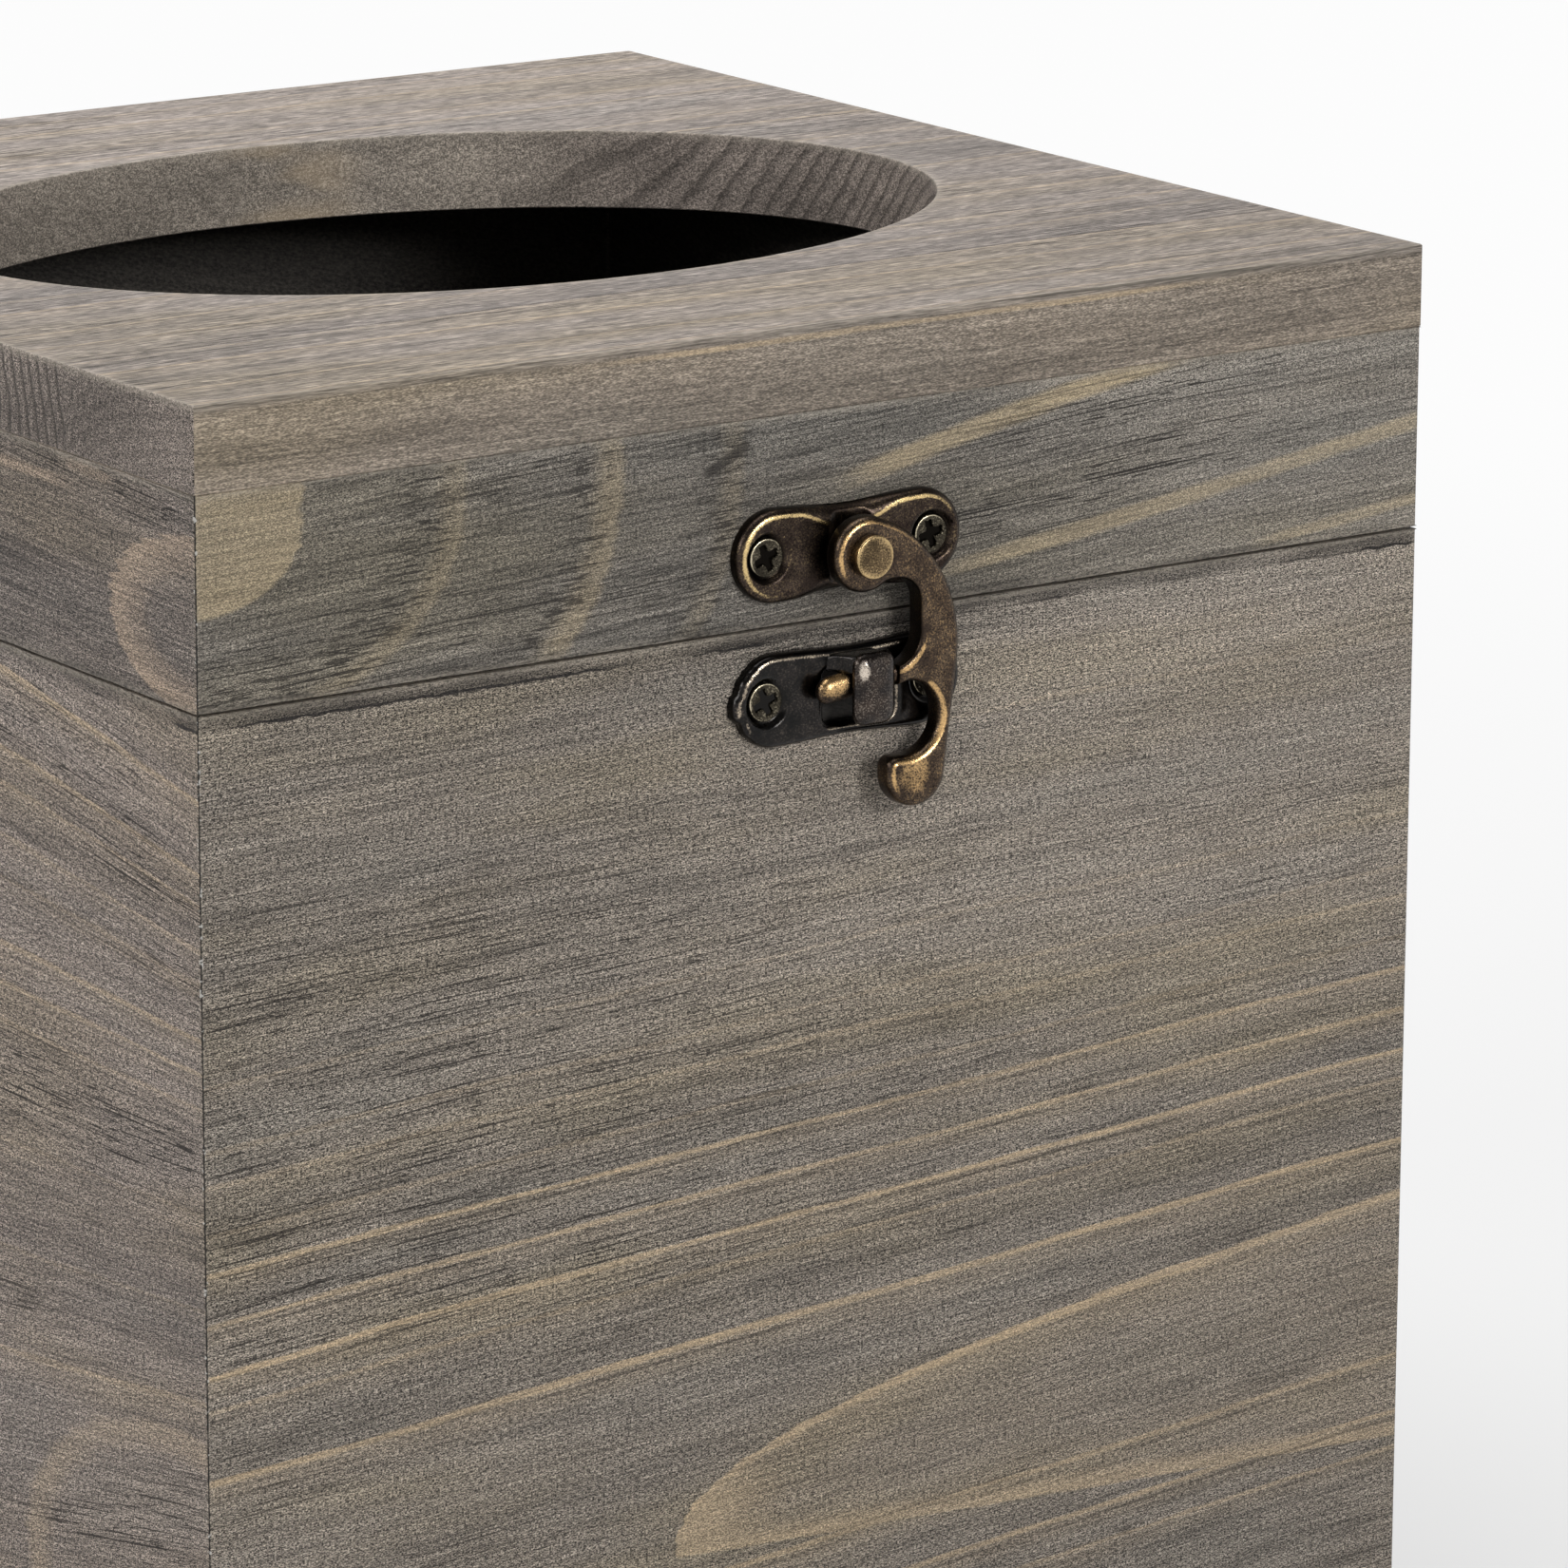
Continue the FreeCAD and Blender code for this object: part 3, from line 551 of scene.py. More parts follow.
def pine(board, spots=(), share=0.40, pitch=4.0, figure=None, tone=0.0, drift=None, busy=None,
         hue=PLAIN_TINT, late_tone=LATEWOOD, seam=None, grit=FRONT_GRIT, grained=1.0):
    """Grey-stained pine.

    spots are marked growth lines; share and pitch set the irregular ones. figure, drift and busy give
    marks, tone and crowded pores from the place on the board. seam is the level of the edge at the
    seam and the side of it that the board lies on. grit is the count of specks per millimetre
    along, across and through, and grained their strength.
    """
    late, shadow, dense, dark = growth(board, spots, share, pitch, figure)
    pores = open_pores(board, late, busy, dense)
    su, thread, w = board.su, board.thread, board.w
    fibre = board.noise(su * FIBRES[0], thread * FIBRES[1], w * 0.3)
    speck, grain = board.grain(su * grit[0], thread * grit[1], w * grit[2])
    stain = board.streaks(SLOW_BANDS, 1.0) * 0.4 + board.streaks(FINE_BANDS, 2.0, 3.0, 0.65) * 0.55
    stain = stain + fibre * 0.95 - (0.45 - tone)
    if drift:
        stain = stain + drift(board.u, board.across)
    if board.stave:
        stripe = board.streaks(STAVE_STRIPES, 11.0, 1.0) - 0.5
        stain = stain + stripe * board.stave * 0.6 + board.rim * 0.13
        rim_grain = board.grain(su * RIM_GRIT[0], board.v * RIM_GRIT[1], w * RIM_GRIT[2])[1]
        grain = grain + (rim_grain - grain) * board.rim
        grained = board.rim * (0.45 - grained) + grained

    colour = tinted(board, board.mix(stain, STAIN_DARK, STAIN_PALE), hue)
    colour = board.mix(late * (fibre * 1.1 + 0.2), colour, late_tone)
    # Painted shade along the seam, and a split below it on the base
    if seam:
        colour = board.mix(seam_shade_and_split(board, seam, speck), colour, PORE_AND_SHADE)
    colour = board.mix((1.0 - late * 0.5) * grained, colour, grain, "MULTIPLY")
    colour = board.mix(shadow * 0.8, colour, PORE_AND_SHADE)
    colour = board.mix(pores * 0.9, colour, PORE_AND_SHADE)
    if dark:
        colour = board.mix(dark * (speck + 0.4), colour, PORE_AND_SHADE)
    if board.stave:
        colour = board.mix(board.glue * 0.4, colour, PORE_AND_SHADE)
    colour = rubbed_edges(board, colour, speck, fibre)
    height = fibre * 0.4 + speck * 0.9 - pores - shadow * 0.5
    return board.finish(colour, 0.52 + fibre * 0.16 + pores * 0.15, height, 0.09)


def board_rings(x, y, z, wave):
    """Growth rings of the glued-up top, cut across: 1 on their dark lines."""
    front = y.between(GLUE_LINE + GLUE_BLUR, GLUE_LINE - GLUE_BLUR)
    total = None
    for heart, drift, share in ((BACK_HEART, HEART_DRIFT, 1.0 - front), (FRONT_HEART, 0.0, front * 0.35)):
        across, up = y + x * drift - heart[0], z - heart[1]
        reach = (across * across + up * up).power(0.5) + wave * 2.5
        turn = (reach * (1 / RING_PITCH)).fraction()
        line = turn.between(0.45, 0.90) * turn.between(1.0, 0.93) * share
        total = line if total is None else total + line
    return total


def rubbed_rim(surface, colour, speck):
    """Rubbed edges of sawn wood."""
    worn = surface.attribute("wear_and_highlight") * (speck * 1.6 - 0.1)
    return surface.mix(worn.between(0.1, 0.8) * 0.4, colour, WORN_EDGE)


def end_grain(name, seed, tone):
    """The cut ends of a board: growth rings, speckled with open fibres."""
    surface = Surface(name)
    y, z = surface.y, surface.z
    wave = surface.noise(y * 0.07, z * 0.12, seed) - 0.5
    rings = board_rings(surface.x, y, z + seed, wave)
    speck, grain = surface.grain(y * 2.6, z * 3.6, surface.x * 2.0)
    ray = surface.noise(y * 2.6, z * 0.5, seed + 3.0)
    slow = surface.noise(y * 0.04, z * 0.1, seed + 7.0, detail=1.0)
    stain = slow * 0.6 + ray * 0.7 - (0.22 - tone)
    colour = surface.mix(stain, STAIN_DARK, STAIN_PALE)
    colour = surface.mix(1.0, colour, grain, "MULTIPLY")
    colour = surface.mix(1.0, colour, MAUVE_TINT, "MULTIPLY")
    colour = surface.mix(rings * (speck + 0.15), colour, PORE_AND_SHADE)
    colour = rubbed_rim(surface, colour, speck)
    return surface.finish(colour, 0.6 + speck * 0.1, speck * 0.9 - rings * 0.6, 0.07)


def opening_wall(name, seed):
    """The sawn wall of the opening: long grain on its long sides, rings across at its ends."""
    surface = Surface(name)
    x, y, z = surface.x, surface.y, surface.z
    wave = surface.noise(x * 0.05, y * 0.06, z * 0.10) - 0.5
    rings = board_rings(x, y, z, wave)
    ends = (x * (1 / OVAL_HALF_LENGTH)).size().between(0.45, 0.85)
    fibre = surface.noise(x * 0.2, (z + y * 0.7) * 2.4, seed)
    speck, grain = surface.grain(x * 2.2, y * 2.2, z * 3.4)
    slow = surface.noise(x * 0.06, y * 0.06, z * 0.18)
    stain = slow * 0.8 + fibre * 0.6 + 0.08 - ends * 0.26
    colour = surface.mix(stain, STAIN_DARK, STAIN_PALE)
    colour = surface.mix(0.55, colour, grain, "MULTIPLY")
    colour = surface.mix(ends, colour, MAUVE_TINT, "MULTIPLY")
    sapwood = (x - 8.0).size().between(11.0, 2.0) * slow.between(0.42, 0.62)
    colour = surface.mix(sapwood * 0.45, colour, LATEWOOD)
    colour = surface.mix(rings * (ends * 0.42 + 0.08), colour, PORE_AND_SHADE)
    colour = rubbed_rim(surface, colour, speck)
    return surface.finish(colour, 0.6 + speck * 0.1, speck * 0.7 + fibre * 0.5 - rings * 0.4, 0.06)


def shaded_inside_pine(name):
    """The inside of the box and of the lid, and the sheet in the catch plate's window: pine darkened to near
    black as painted shade, for the little light that gets in.
    """
    surface = Surface(name)
    along, up = surface.x + surface.y, surface.z
    across = up + surface.x * 0.21 - surface.y * 0.17
    band = surface.noise(along * 0.012, across * 0.5, 3.0, detail=3.0)
    fibre = surface.noise(along * 0.25, across * 3.5, 5.0)
    speck = surface.noise(along * 1.4, across * 3.0, surface.x * 1.2, roughness=0.7)
    stain = band * 1.2 + fibre * 1.1 + speck * 1.3 - 1.35
    colour = surface.mix(stain, INSIDE_SHADE_DARK, INSIDE_SHADE_PALE)
    rubbed_and_highlight = surface.attribute("wear_and_highlight") * (speck * 1.5 - 0.1)
    colour = surface.mix(rubbed_and_highlight.between(0.1, 0.8) * 0.4, colour, STAIN_PALE)
    return surface.finish(colour, 0.62 + fibre * 0.12, fibre * 0.6 + speck * 0.6, 0.06)


# Growth figures of the boards: each gives pale marks, crowded dashes and dark marks

# The long figure low on the front: its tip, and the rise and fall of its edges
APEX = (-19.7, 34.6)
TONGUE_RISE = 3.23
TONGUE_CURVE = 0.423
TONGUE_FALL = 0.05
TONGUE_BLUNT = 1.2
# Blunt figures, cut across: centre, half width and half height
LEFT_TONGUE = ((-72.0, 36.0), 33.0, 20.0)
RAIL_RING = ((-HALF, 147.0), 30.7, 20.4)
SIDE_RING = ((-76.0, 138.2), 17.0, 9.0)
# Rings on the front of the lid: size as a share, width and strength; and where dashes crowd along them
RAIL_RINGS = ((1.0, 0.13, 0.32), (1.6, 0.15, 0.42), (2.07, 0.12, 0.18))
RAIL_CROWDS = ((0.96, 0.36), (1.56, 0.30), (2.1, 0.30))
# Streaks: start, end, width, bend and strength
RAIL_STREAKS = (
    ((3.0, 144.0), (42.0, 151.5), 3.0, 0.4, 0.85),
    ((15.0, 133.0), (78.0, 141.8), 2.4, -0.4, 0.66),
    ((54.0, 130.5), (78.0, 133.3), 1.7, 0.0, 0.50),
)
RAIL_SCUFF = ((-16.2, 146.2), (-11.0, 148.6), 1.6, 0.0, 0.8)
SIDE_STREAKS = (
    ((-50.0, 148.2), (-20.0, 148.0), 1.8, 0.0, 0.5),
    ((-59.0, 150.0), (-51.0, 150.4), 1.6, 0.0, 0.3),
)
TOP_STREAK = ((-26.0, -76.3), (44.0, -75.9), 0.8, 0.0, 0.8)
TOP_BRUISE = ((22.0, -75.1), (56.0, -75.15), 0.6, 0.0, 0.9)
# Marked growth lines of the boards: level, width and strength
FRONT_LINES = [
    (92.5, 0.7, 0.20), (86.0, 0.8, 0.25), (82.5, 0.8, 0.32), (77.5, 0.8, 0.28), (73.5, 0.8, 0.80),
    (68.5, 0.8, 0.80), (63.5, 0.9, 1.0), (60.0, 0.8, 0.40), (52.6, 1.1, 0.95), (26.0, 1.0, 0.70),
    (19.0, 0.9, 0.80), (14.5, 0.8, 0.50),
]
# Levels of the lines at the front edge of the left side
LEFT_LINES = [
    (121.2, 1.0, 0.65), (114.2, 0.8, 0.55), (111.0, 0.6, 0.40), (106.5, 0.7, 0.30), (103.0, 0.7, 0.25),
    (97.5, 0.8, 0.55), (94.0, 0.7, 0.45), (90.5, 0.6, 0.25), (80.0, 0.6, 0.15), (70.0, 0.6, 0.20),
    (60.5, 0.9, 0.35), (24.0, 0.9, 0.35), (15.0, 0.8, 0.30),
]
RIGHT_LINES = [
    (117.0, 0.8, 0.45), (111.5, 0.7, 0.30), (102.0, 0.9, 0.60), (96.0, 0.8, 0.45), (87.5, 0.7, 0.25),
    (76.0, 0.9, 0.55), (70.5, 0.8, 0.65), (64.0, 0.8, 0.40), (51.0, 0.7, 0.30), (38.0, 0.9, 0.55),
    (31.5, 0.8, 0.40), (20.0, 0.9, 0.50),
]
BACK_LINES = [
    (113.0, 0.8, 0.40), (98.5, 0.9, 0.55), (92.5, 0.8, 0.60), (86.0, 0.8, 0.35), (72.0, 0.7, 0.25),
    (61.0, 0.9, 0.60), (55.5, 0.9, 0.70), (49.0, 0.8, 0.50), (41.5, 0.8, 0.30), (27.0, 0.9, 0.55),
    (18.5, 0.8, 0.35),
]
# Levels across the top, towards the back
TOP_LINES = [
    (-43.0, 0.9, 0.30), (-36.5, 0.8, 0.35), (-26.0, 1.0, 0.45), (-20.5, 0.8, 0.30), (-9.0, 0.9, 0.40),
    (4.0, 1.0, 0.35), (11.5, 0.8, 0.30), (24.0, 0.9, 0.45), (31.0, 0.9, 0.35), (45.5, 1.0, 0.45),
    (52.0, 0.8, 0.30), (63.0, 0.9, 0.40), (69.0, 0.8, 0.30),
]


def front_tongue(u, v, wave, feather):
    """The long pointed growth figure low on the front, open to the right."""
    reach = (u - APEX[0] + feather * 1.2).largest(0.0)
    bluff = (reach * reach) / (reach + TONGUE_BLUNT)
    scallop = wave * 0.2 + feather * 0.8
    under = bluff.power(TONGUE_CURVE) * TONGUE_RISE + APEX[1] - v + scallop
    over = v + reach * TONGUE_FALL - (APEX[1] - 1.4) + scallop * 0.6
    inside = under.between(-0.15, 0.15) * over.between(-0.15, 0.2) * reach.between(0.0, 0.4)
    rim = under.between(1.6, 0.5).largest(over.between(3.2, 0.4) * 0.7)
    tail = (under.between(6.0, 0.5) * 0.3).largest(reach.between(18.0, 2.0) * 0.8)
    return inside * rim.largest(tail).largest(0.12), None, None


def front_drift(u, v):
    """The front is paler towards its upper right and a little darker below that."""
    pale = u.between(-30.0, 40.0) * v.between(72.0, 112.0) * 0.18
    return pale - u.between(15.0, 60.0) * v.between(76.0, 50.0) * 0.05


def front_pores(u, v):
    """Pores crowd on the left half of the front, above its strong lines."""
    return u.between(35.0, -30.0) * v.between(54.0, 68.0) * v.between(120.0, 100.0) * 0.9


def left_tongue(u, v, wave, feather):
    """The blunt growth figure low on the left side."""
    ring = ellipse(u + feather * 2.4, v + wave * 0.4 + feather * 1.2, *LEFT_TONGUE)
    rim = ring.between(1.03, 0.97) * ring.between(0.80, 0.95) * 0.34
    return rim.largest(ring.between(0.98, 0.6) * 0.08), None, None


def ring_band(ring, place, width):
    """A growth ring cut across: crisp outside, fading inwards."""
    return ring.between(place + 0.02, place - 0.02) * ring.between(place - width, place - 0.3 * width)


def rail_figure(u, v, wave, feather):
    """Growth marks on the front of the lid: a tan corner, faint rings, three streaks, a scuff."""
    across = u + feather * 2.0
    up = v + wave * 0.3 + feather * 0.9
    ring = ellipse(across, up.smallest(RAIL_RING[0][1]), *RAIL_RING)
    marks = [ring.between(0.405, 0.38) * 0.66]
    marks += [ring_band(ring, place, width) * strength for place, width, strength in RAIL_RINGS]
    marks += [line_band(across, up, *streak) for streak in RAIL_STREAKS]
    crowded = [ring_band(ring, place, width) * 0.8 for place, width in RAIL_CROWDS]
    return strongest(marks), strongest(crowded), line_band(across, up, *RAIL_SCUFF)


def rail_drift(u, v):
    """The front of the lid is darker on its left two thirds."""
    return u.between(10.0, 50.0) * 0.24 - 0.20


def side_rail_figure(u, v, wave, feather):
    """The half ring beside the front corner on the left of the lid, and two short streaks."""
    up = v + wave * 0.4 + feather * 1.0
    ring = ellipse(u + feather * 4.0, up + feather * 0.8, *SIDE_RING)
    band = ring.between(0.54, 0.72) * 0.32 + ring.between(0.74, 0.92) * 0.26
    marks = [ring.between(1.03, 0.99) * band]
    marks += [line_band(u, up, *streak) for streak in SIDE_STREAKS]
    return strongest(marks), None, None


def top_figure(u, v, wave, feather):
    """The front edge of the top: a thin golden streak and a dark bruise along the corner."""
    streak = line_band(u, v + feather * 0.5, *TOP_STREAK)
    bruise = line_band(u, v + feather * 0.3, *TOP_BRUISE)
    return streak, None, bruise


def top_drift(u, v):
    """The top is paler towards the back and darker towards the right."""
    return v.between(-30.0, 60.0) * 0.14 - u.between(20.0, 70.0) * v.between(50.0, 0.0) * 0.07


BASE_SEAM = (129.4, 1)
LID_SEAM = (129.8, -1)
WOOD = {
    "base_front_panel": pine(
        Board("pine_base_front", "xzy", -HALF, 1.0, slope=0.057, fan=0.0006, pivot=73.5),
        spots=FRONT_LINES, share=0.36, figure=front_tongue, drift=front_drift, busy=front_pores,
        seam=BASE_SEAM),
    "base_right_panel": pine(
        Board("pine_base_right", "yzx", HALF, 2.3, slope=-0.03, fan=0.0012, pivot=70.0),
        spots=RIGHT_LINES, share=0.36, seam=BASE_SEAM, grit=SIDE_GRIT),
    "base_back_panel": pine(
        Board("pine_base_back", "xzy", HALF, 3.1, slope=-0.045, fan=0.0009, pivot=60.0),
        spots=BACK_LINES, share=0.36, seam=BASE_SEAM),
    "base_left_panel": pine(
        Board("pine_base_left", "yzx", -HALF, 4.7, slope=0.0, fan=-0.0047, pivot=89.0, settle=50.0),
        spots=LEFT_LINES, share=0.36, figure=left_tongue, hue=MAUVE_TINT, seam=BASE_SEAM, grit=SIDE_GRIT),
    "lid_front_rail": pine(
        Board("pine_lid_front", "xzy", -HALF, 5.2, slope=0.06),
        share=0.34, figure=rail_figure, drift=rail_drift, hue=COOL_TINT, late_tone=GOLDEN_LATEWOOD,
        seam=LID_SEAM, grained=0.75),
    "lid_right_rail": pine(Board("pine_lid_right", "yzx", HALF, 6.4), seam=LID_SEAM, grit=SIDE_GRIT),
    "lid_back_rail": pine(Board("pine_lid_back", "xzy", HALF, 7.5, slope=-0.04), seam=LID_SEAM),
    "lid_left_rail": pine(
        Board("pine_lid_left", "yzx", -HALF, 8.1, slope=0.04),
        share=0.30, figure=side_rail_figure, tone=-0.22, hue=MAUVE_TINT, late_tone=BROWN_LATEWOOD,
        seam=LID_SEAM, grit=SIDE_GRIT),
    "lid_top_board": pine(
        Board("pine_lid_top", "xyz", 160.0, 9.6, slope=0.01, glued=GLUE_LINE),
        spots=TOP_LINES, share=0.36, pitch=5.0, figure=top_figure, drift=top_drift, hue=TOP_TINT,
        grit=TOP_GRIT, grained=0.5),
    "base_bottom_board": pine(Board("pine_base_bottom", "xyz", 0.0, 10.2)),
}
TOP_BOARD_ENDS = end_grain("pine_top_ends", 0.0, -0.05)
BOTTOM_BOARD_ENDS = end_grain("pine_bottom_ends", 151.2, 0.0)
OPENING_WALL = opening_wall("pine_opening", 3.0)
INSIDE_SHADE = shaded_inside_pine("pine_inside_painted_shade")


# Metal materials

# Near black for pits and dirt, and for painted shade in gaps and recesses
SOOT_AND_SHADE = (0.006, 0.005, 0.004)


def aged_brass(name, patina, sheen, bright, wear_from, speckle, dull=0.23, lacquer=0.0):
    """Brass under a brown patina, rubbed bright along its rims, with golden flecks and dark pits. The bright
    that the mesh marks is partly wear and partly painted highlight, and the dark it marks is dirt and
    painted shade.
    """
    surface = Surface(name)
    x, y, z = surface.x, surface.y, surface.z
    cloud = surface.noise(x * 0.45, y * 0.45, z * 0.45, detail=3.0)
    grit = surface.noise(x * 5.6, y * 5.6, z * 5.6, roughness=0.6)
    fine = surface.noise(x * 11.0, y * 11.0, z * 11.0, detail=1.0)
    # The bright marked on the mesh is wear and painted highlight
    wear_and_highlight = surface.attribute("wear_and_highlight") + (cloud - 0.5) * 0.6 + (grit - 0.5) * 0.8
    rubbed_and_highlight = wear_and_highlight.between(wear_from, wear_from + 0.55)
    flecks = grit.between(0.54, 0.66) * cloud.between(0.25, 0.65) * speckle
    pits = grit.between(0.47, 0.34) * (1.0 - rubbed_and_highlight) * 0.7
    colour = surface.mix(cloud.between(0.3, 0.75), patina, sheen)
    colour = surface.mix(rubbed_and_highlight.largest(flecks), colour, bright)
    # Pits, and the dark marked on the mesh: dirt, and painted shade in gaps, recesses and shaded side walls
    colour = surface.mix(pits.largest(surface.attribute("joint_dirt_and_shade")), colour, SOOT_AND_SHADE)
    roughness = dull - rubbed_and_highlight * 0.05 + fine * 0.12
    surface.shader.inputs["Coat Weight"].default_value = lacquer
    surface.shader.inputs["Coat Roughness"].default_value = 0.14
    return surface.finish(colour, roughness, grit * 0.7 + fine * 0.3, 0.03, metallic=1.0, specular=0.5)


# Bright colours: rubbed rims, and the painted highlights that the meshes mark
HOOK_BRASS = aged_brass("brass_hook", (0.046, 0.033, 0.026), (0.104, 0.075, 0.053),
                        (0.660, 0.425, 0.195), 0.56, 0.34)
PLATE_BRASS = aged_brass("brass_plate", (0.026, 0.0185, 0.0155), (0.062, 0.045, 0.036),
                         (0.680, 0.500, 0.240), 0.56, 0.16)
RIVET_BRASS = aged_brass("brass_rivet", (0.070, 0.049, 0.028), (0.170, 0.118, 0.066),
                         (0.560, 0.400, 0.200), 0.56, 0.80)
DARK_BRASS = aged_brass("brass_blackened", (0.005, 0.005, 0.005), (0.020, 0.017, 0.016),
                        (0.460, 0.380, 0.290), 0.72, 0.10, 0.16, 0.25)
# The tab's bright colour is whitish, for the painted highlight on its upper left
TAB_BRASS = aged_brass("brass_tab", (0.013, 0.011, 0.011), (0.052, 0.038, 0.030),
                       (0.700, 0.610, 0.510), 0.50, 0.22, 0.20, 0.25)
SCREW_METAL = aged_brass("screw_metal", (0.030, 0.026, 0.019), (0.064, 0.055, 0.040),
                         (0.560, 0.490, 0.350), 0.55, 0.40)
HINGE_BRASS = aged_brass("brass_hinge", (0.046, 0.032, 0.021), (0.098, 0.068, 0.042),
                         (0.600, 0.415, 0.180), 0.58, 0.45)


# Meshes

class Shape:
    """Vertices in millimetres, faces, and the numbers painted on the vertices."""

    def __init__(self):
        self.points = []
        self.faces = []
        self.kinds = []
        self.wear_and_highlight = []
        self.joint_dirt_and_shade = []

    def add(self, points, faces, wear_and_highlight, joint_dirt_and_shade=None, kinds=None):
        start = len(self.points)
        self.points.extend(tuple(p) for p in points)
        self.wear_and_highlight.extend(wear_and_highlight)
        self.joint_dirt_and_shade.extend(joint_dirt_and_shade or [0.0] * len(points))
        self.faces.extend(tuple(i + start for i in face) for face in faces)
        self.kinds.extend(kinds or [0] * len(faces))

    def piece(self, name, materials, body, node):
        """Makes the object that stands for a node of the part and rides on its body."""
        mesh = bpy.data.meshes.new(name)
        mesh.from_pydata([Vector(p) * MM for p in self.points], [], self.faces)
        for material in materials:
            mesh.materials.append(material)
        mesh.polygons.foreach_set("material_index", self.kinds)
        # The first is rubbed wear, and on metal also painted highlight; the second is dark joints and dirt,
        # and on metal also painted shade
        for label, values in (("wear_and_highlight", self.wear_and_highlight), ("joint_dirt_and_shade", self.joint_dirt_and_shade)):
            layer = mesh.attributes.new(label, "FLOAT", "POINT")
            layer.data.foreach_set("value", values)
        shape = bmesh.new()
        shape.from_mesh(mesh)
        bmesh.ops.recalc_face_normals(shape, faces=shape.faces)
        shape.to_mesh(mesh)
        shape.free()
        mesh.polygons.foreach_set("use_smooth", [True] * len(mesh.polygons))
        mesh.set_sharp_from_angle(angle=SHARP_ANGLE)
        item = bpy.data.objects.new(name, mesh)
        bpy.context.scene.collection.objects.link(item)
        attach(item, body)
        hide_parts(node)


def mm_box(node):
    """Lowest and highest corner of a node, in millimetres."""
    low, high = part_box(node)
    return low / MM, high / MM


def arc_points(centre, radius, start, end, step):
    """Points on an arc from one direction to another, both ends included."""
    count = max(2, int(abs(end - start) * radius / step))
    turns = np.linspace(start, end, count + 1)
    return [(centre[0] + radius * math.cos(t), centre[1] + radius * math.sin(t)) for t in turns]


def ragged(place, seed, size):
    """A small seeded unevenness along an edge."""
    coarse = noise.noise(Vector((place * 0.16, seed, 0.0)))
    fine = noise.noise(Vector((place * 0.7, seed, 5.0)))
    return size * (0.6 * coarse + 0.5 * fine)


def quads(rows, columns, row_closed=True, column_closed=True):
    """Faces between rows of points that follow one another; a closed one meets its own start."""
    faces = []
    for row in range(rows if column_closed else rows - 1):
        after = (row + 1) % rows
        for column in range(columns if row_closed else columns - 1):
            beside = (column + 1) % columns
            faces.append((row * columns + column, row * columns + beside,
                          after * columns + beside, after * columns + column))
    return faces


# Boards

def board_section(floor, top, seam_high):
    """Section of a wall: depth in from the outer face, level, wear, share of seam unevenness."""
    upper = SEAM_EASING if seam_high else JOINT_EASING
    lower = JOINT_EASING if seam_high else SEAM_EASING * 0.6
    turns = np.linspace(0, math.pi / 2, 4)
    rows = []

    def rounding(depth, level, radius, quarter, seam):
        for t in turns:
            angle = t + quarter * math.pi / 2
            rows.append((depth - radius * math.cos(angle), level + radius * math.sin(angle),
                         1.0 if depth < WALL / 2 else 0.4, seam))

    rows.append((0.0, floor + lower + WEAR_REACH, 0.0, 0.0))
    rows.append((0.0, top - upper - WEAR_REACH, 0.0, 0.0))
    rounding(upper, top - upper, upper, 0, 1.0 if seam_high else 0.0)
    rounding(WALL - INNER_EASING, top - INNER_EASING, INNER_EASING, 1, 0.0)
    rounding(WALL - INNER_EASING, floor + INNER_EASING, INNER_EASING, 2, 0.0)
    rounding(lower, floor + lower, lower, 3, 0.0 if seam_high else -1.0)
    return rows


def wall_stations(reach):
    """Places along a wall, close together near its two mitred ends."""
    inner = reach - WEAR_REACH
    middle = list(np.linspace(-inner, inner, WALL_STATIONS))
    near = reach - 2.0 * CORNER_EASING
    return [-reach, -near] + middle + [near, reach]


def mitred_board(node, turn, seam_high, body):
    """One side of the box or of the lid, with mitred ends and an eased, uneven seam edge."""
    low, high = mm_box(node)
    if seam_high:
        high.z += SEAM_FILL
    else:
        low.z -= SEAM_FILL
    rows = board_section(low.z, high.z, seam_high)
    spin = Matrix.Rotation(turn * math.pi / 2, 3, "Z")
    shape = Shape()
    points, wear_and_highlight, joint_dirt_and_shade = [], [], []
    columns = len(wall_stations(HALF))
    for depth, level, rubbed_and_highlight, seam in rows:
        places = wall_stations(HALF - depth)
        for number, place in enumerate(places):
            at_end = number in (0, columns - 1)
            inset = CORNER_EASING if at_end and depth < 0.01 else 0.0
            deep = depth + inset
            side = math.copysign(HALF - deep, place) if at_end else place
            uneven = ragged(place, turn + 9.0 * seam, SEAM_RAGGED) * seam
            points.append(spin @ Vector((side, deep - HALF, level - abs(uneven) * seam)))
            beside = number in (1, columns - 2)
            wear_and_highlight.append(max(rubbed_and_highlight, 0.8 if at_end else 0.5 if beside else 0.0))
            joint_dirt_and_shade.append(1.0 if at_end else 0.0)
    faces = quads(len(rows), columns, row_closed=False)
    # Faces on the inner side take the inside pine, darkened as painted shade
    kinds = []
    for row, after in zip(rows, rows[1:] + rows[:1]):
        inner = min(row[0], after[0]) > WALL - 0.01
        kinds.extend([1 if inner else 0] * (columns - 1))
    for end in (0, columns - 1):
        faces.append(tuple(row * columns + end for row in range(len(rows))))
        kinds.append(0)
    shape.add(points, faces, wear_and_highlight, joint_dirt_and_shade, kinds)
    shape.piece(f"{node}_wood", [WOOD[node], INSIDE_SHADE], body, node)


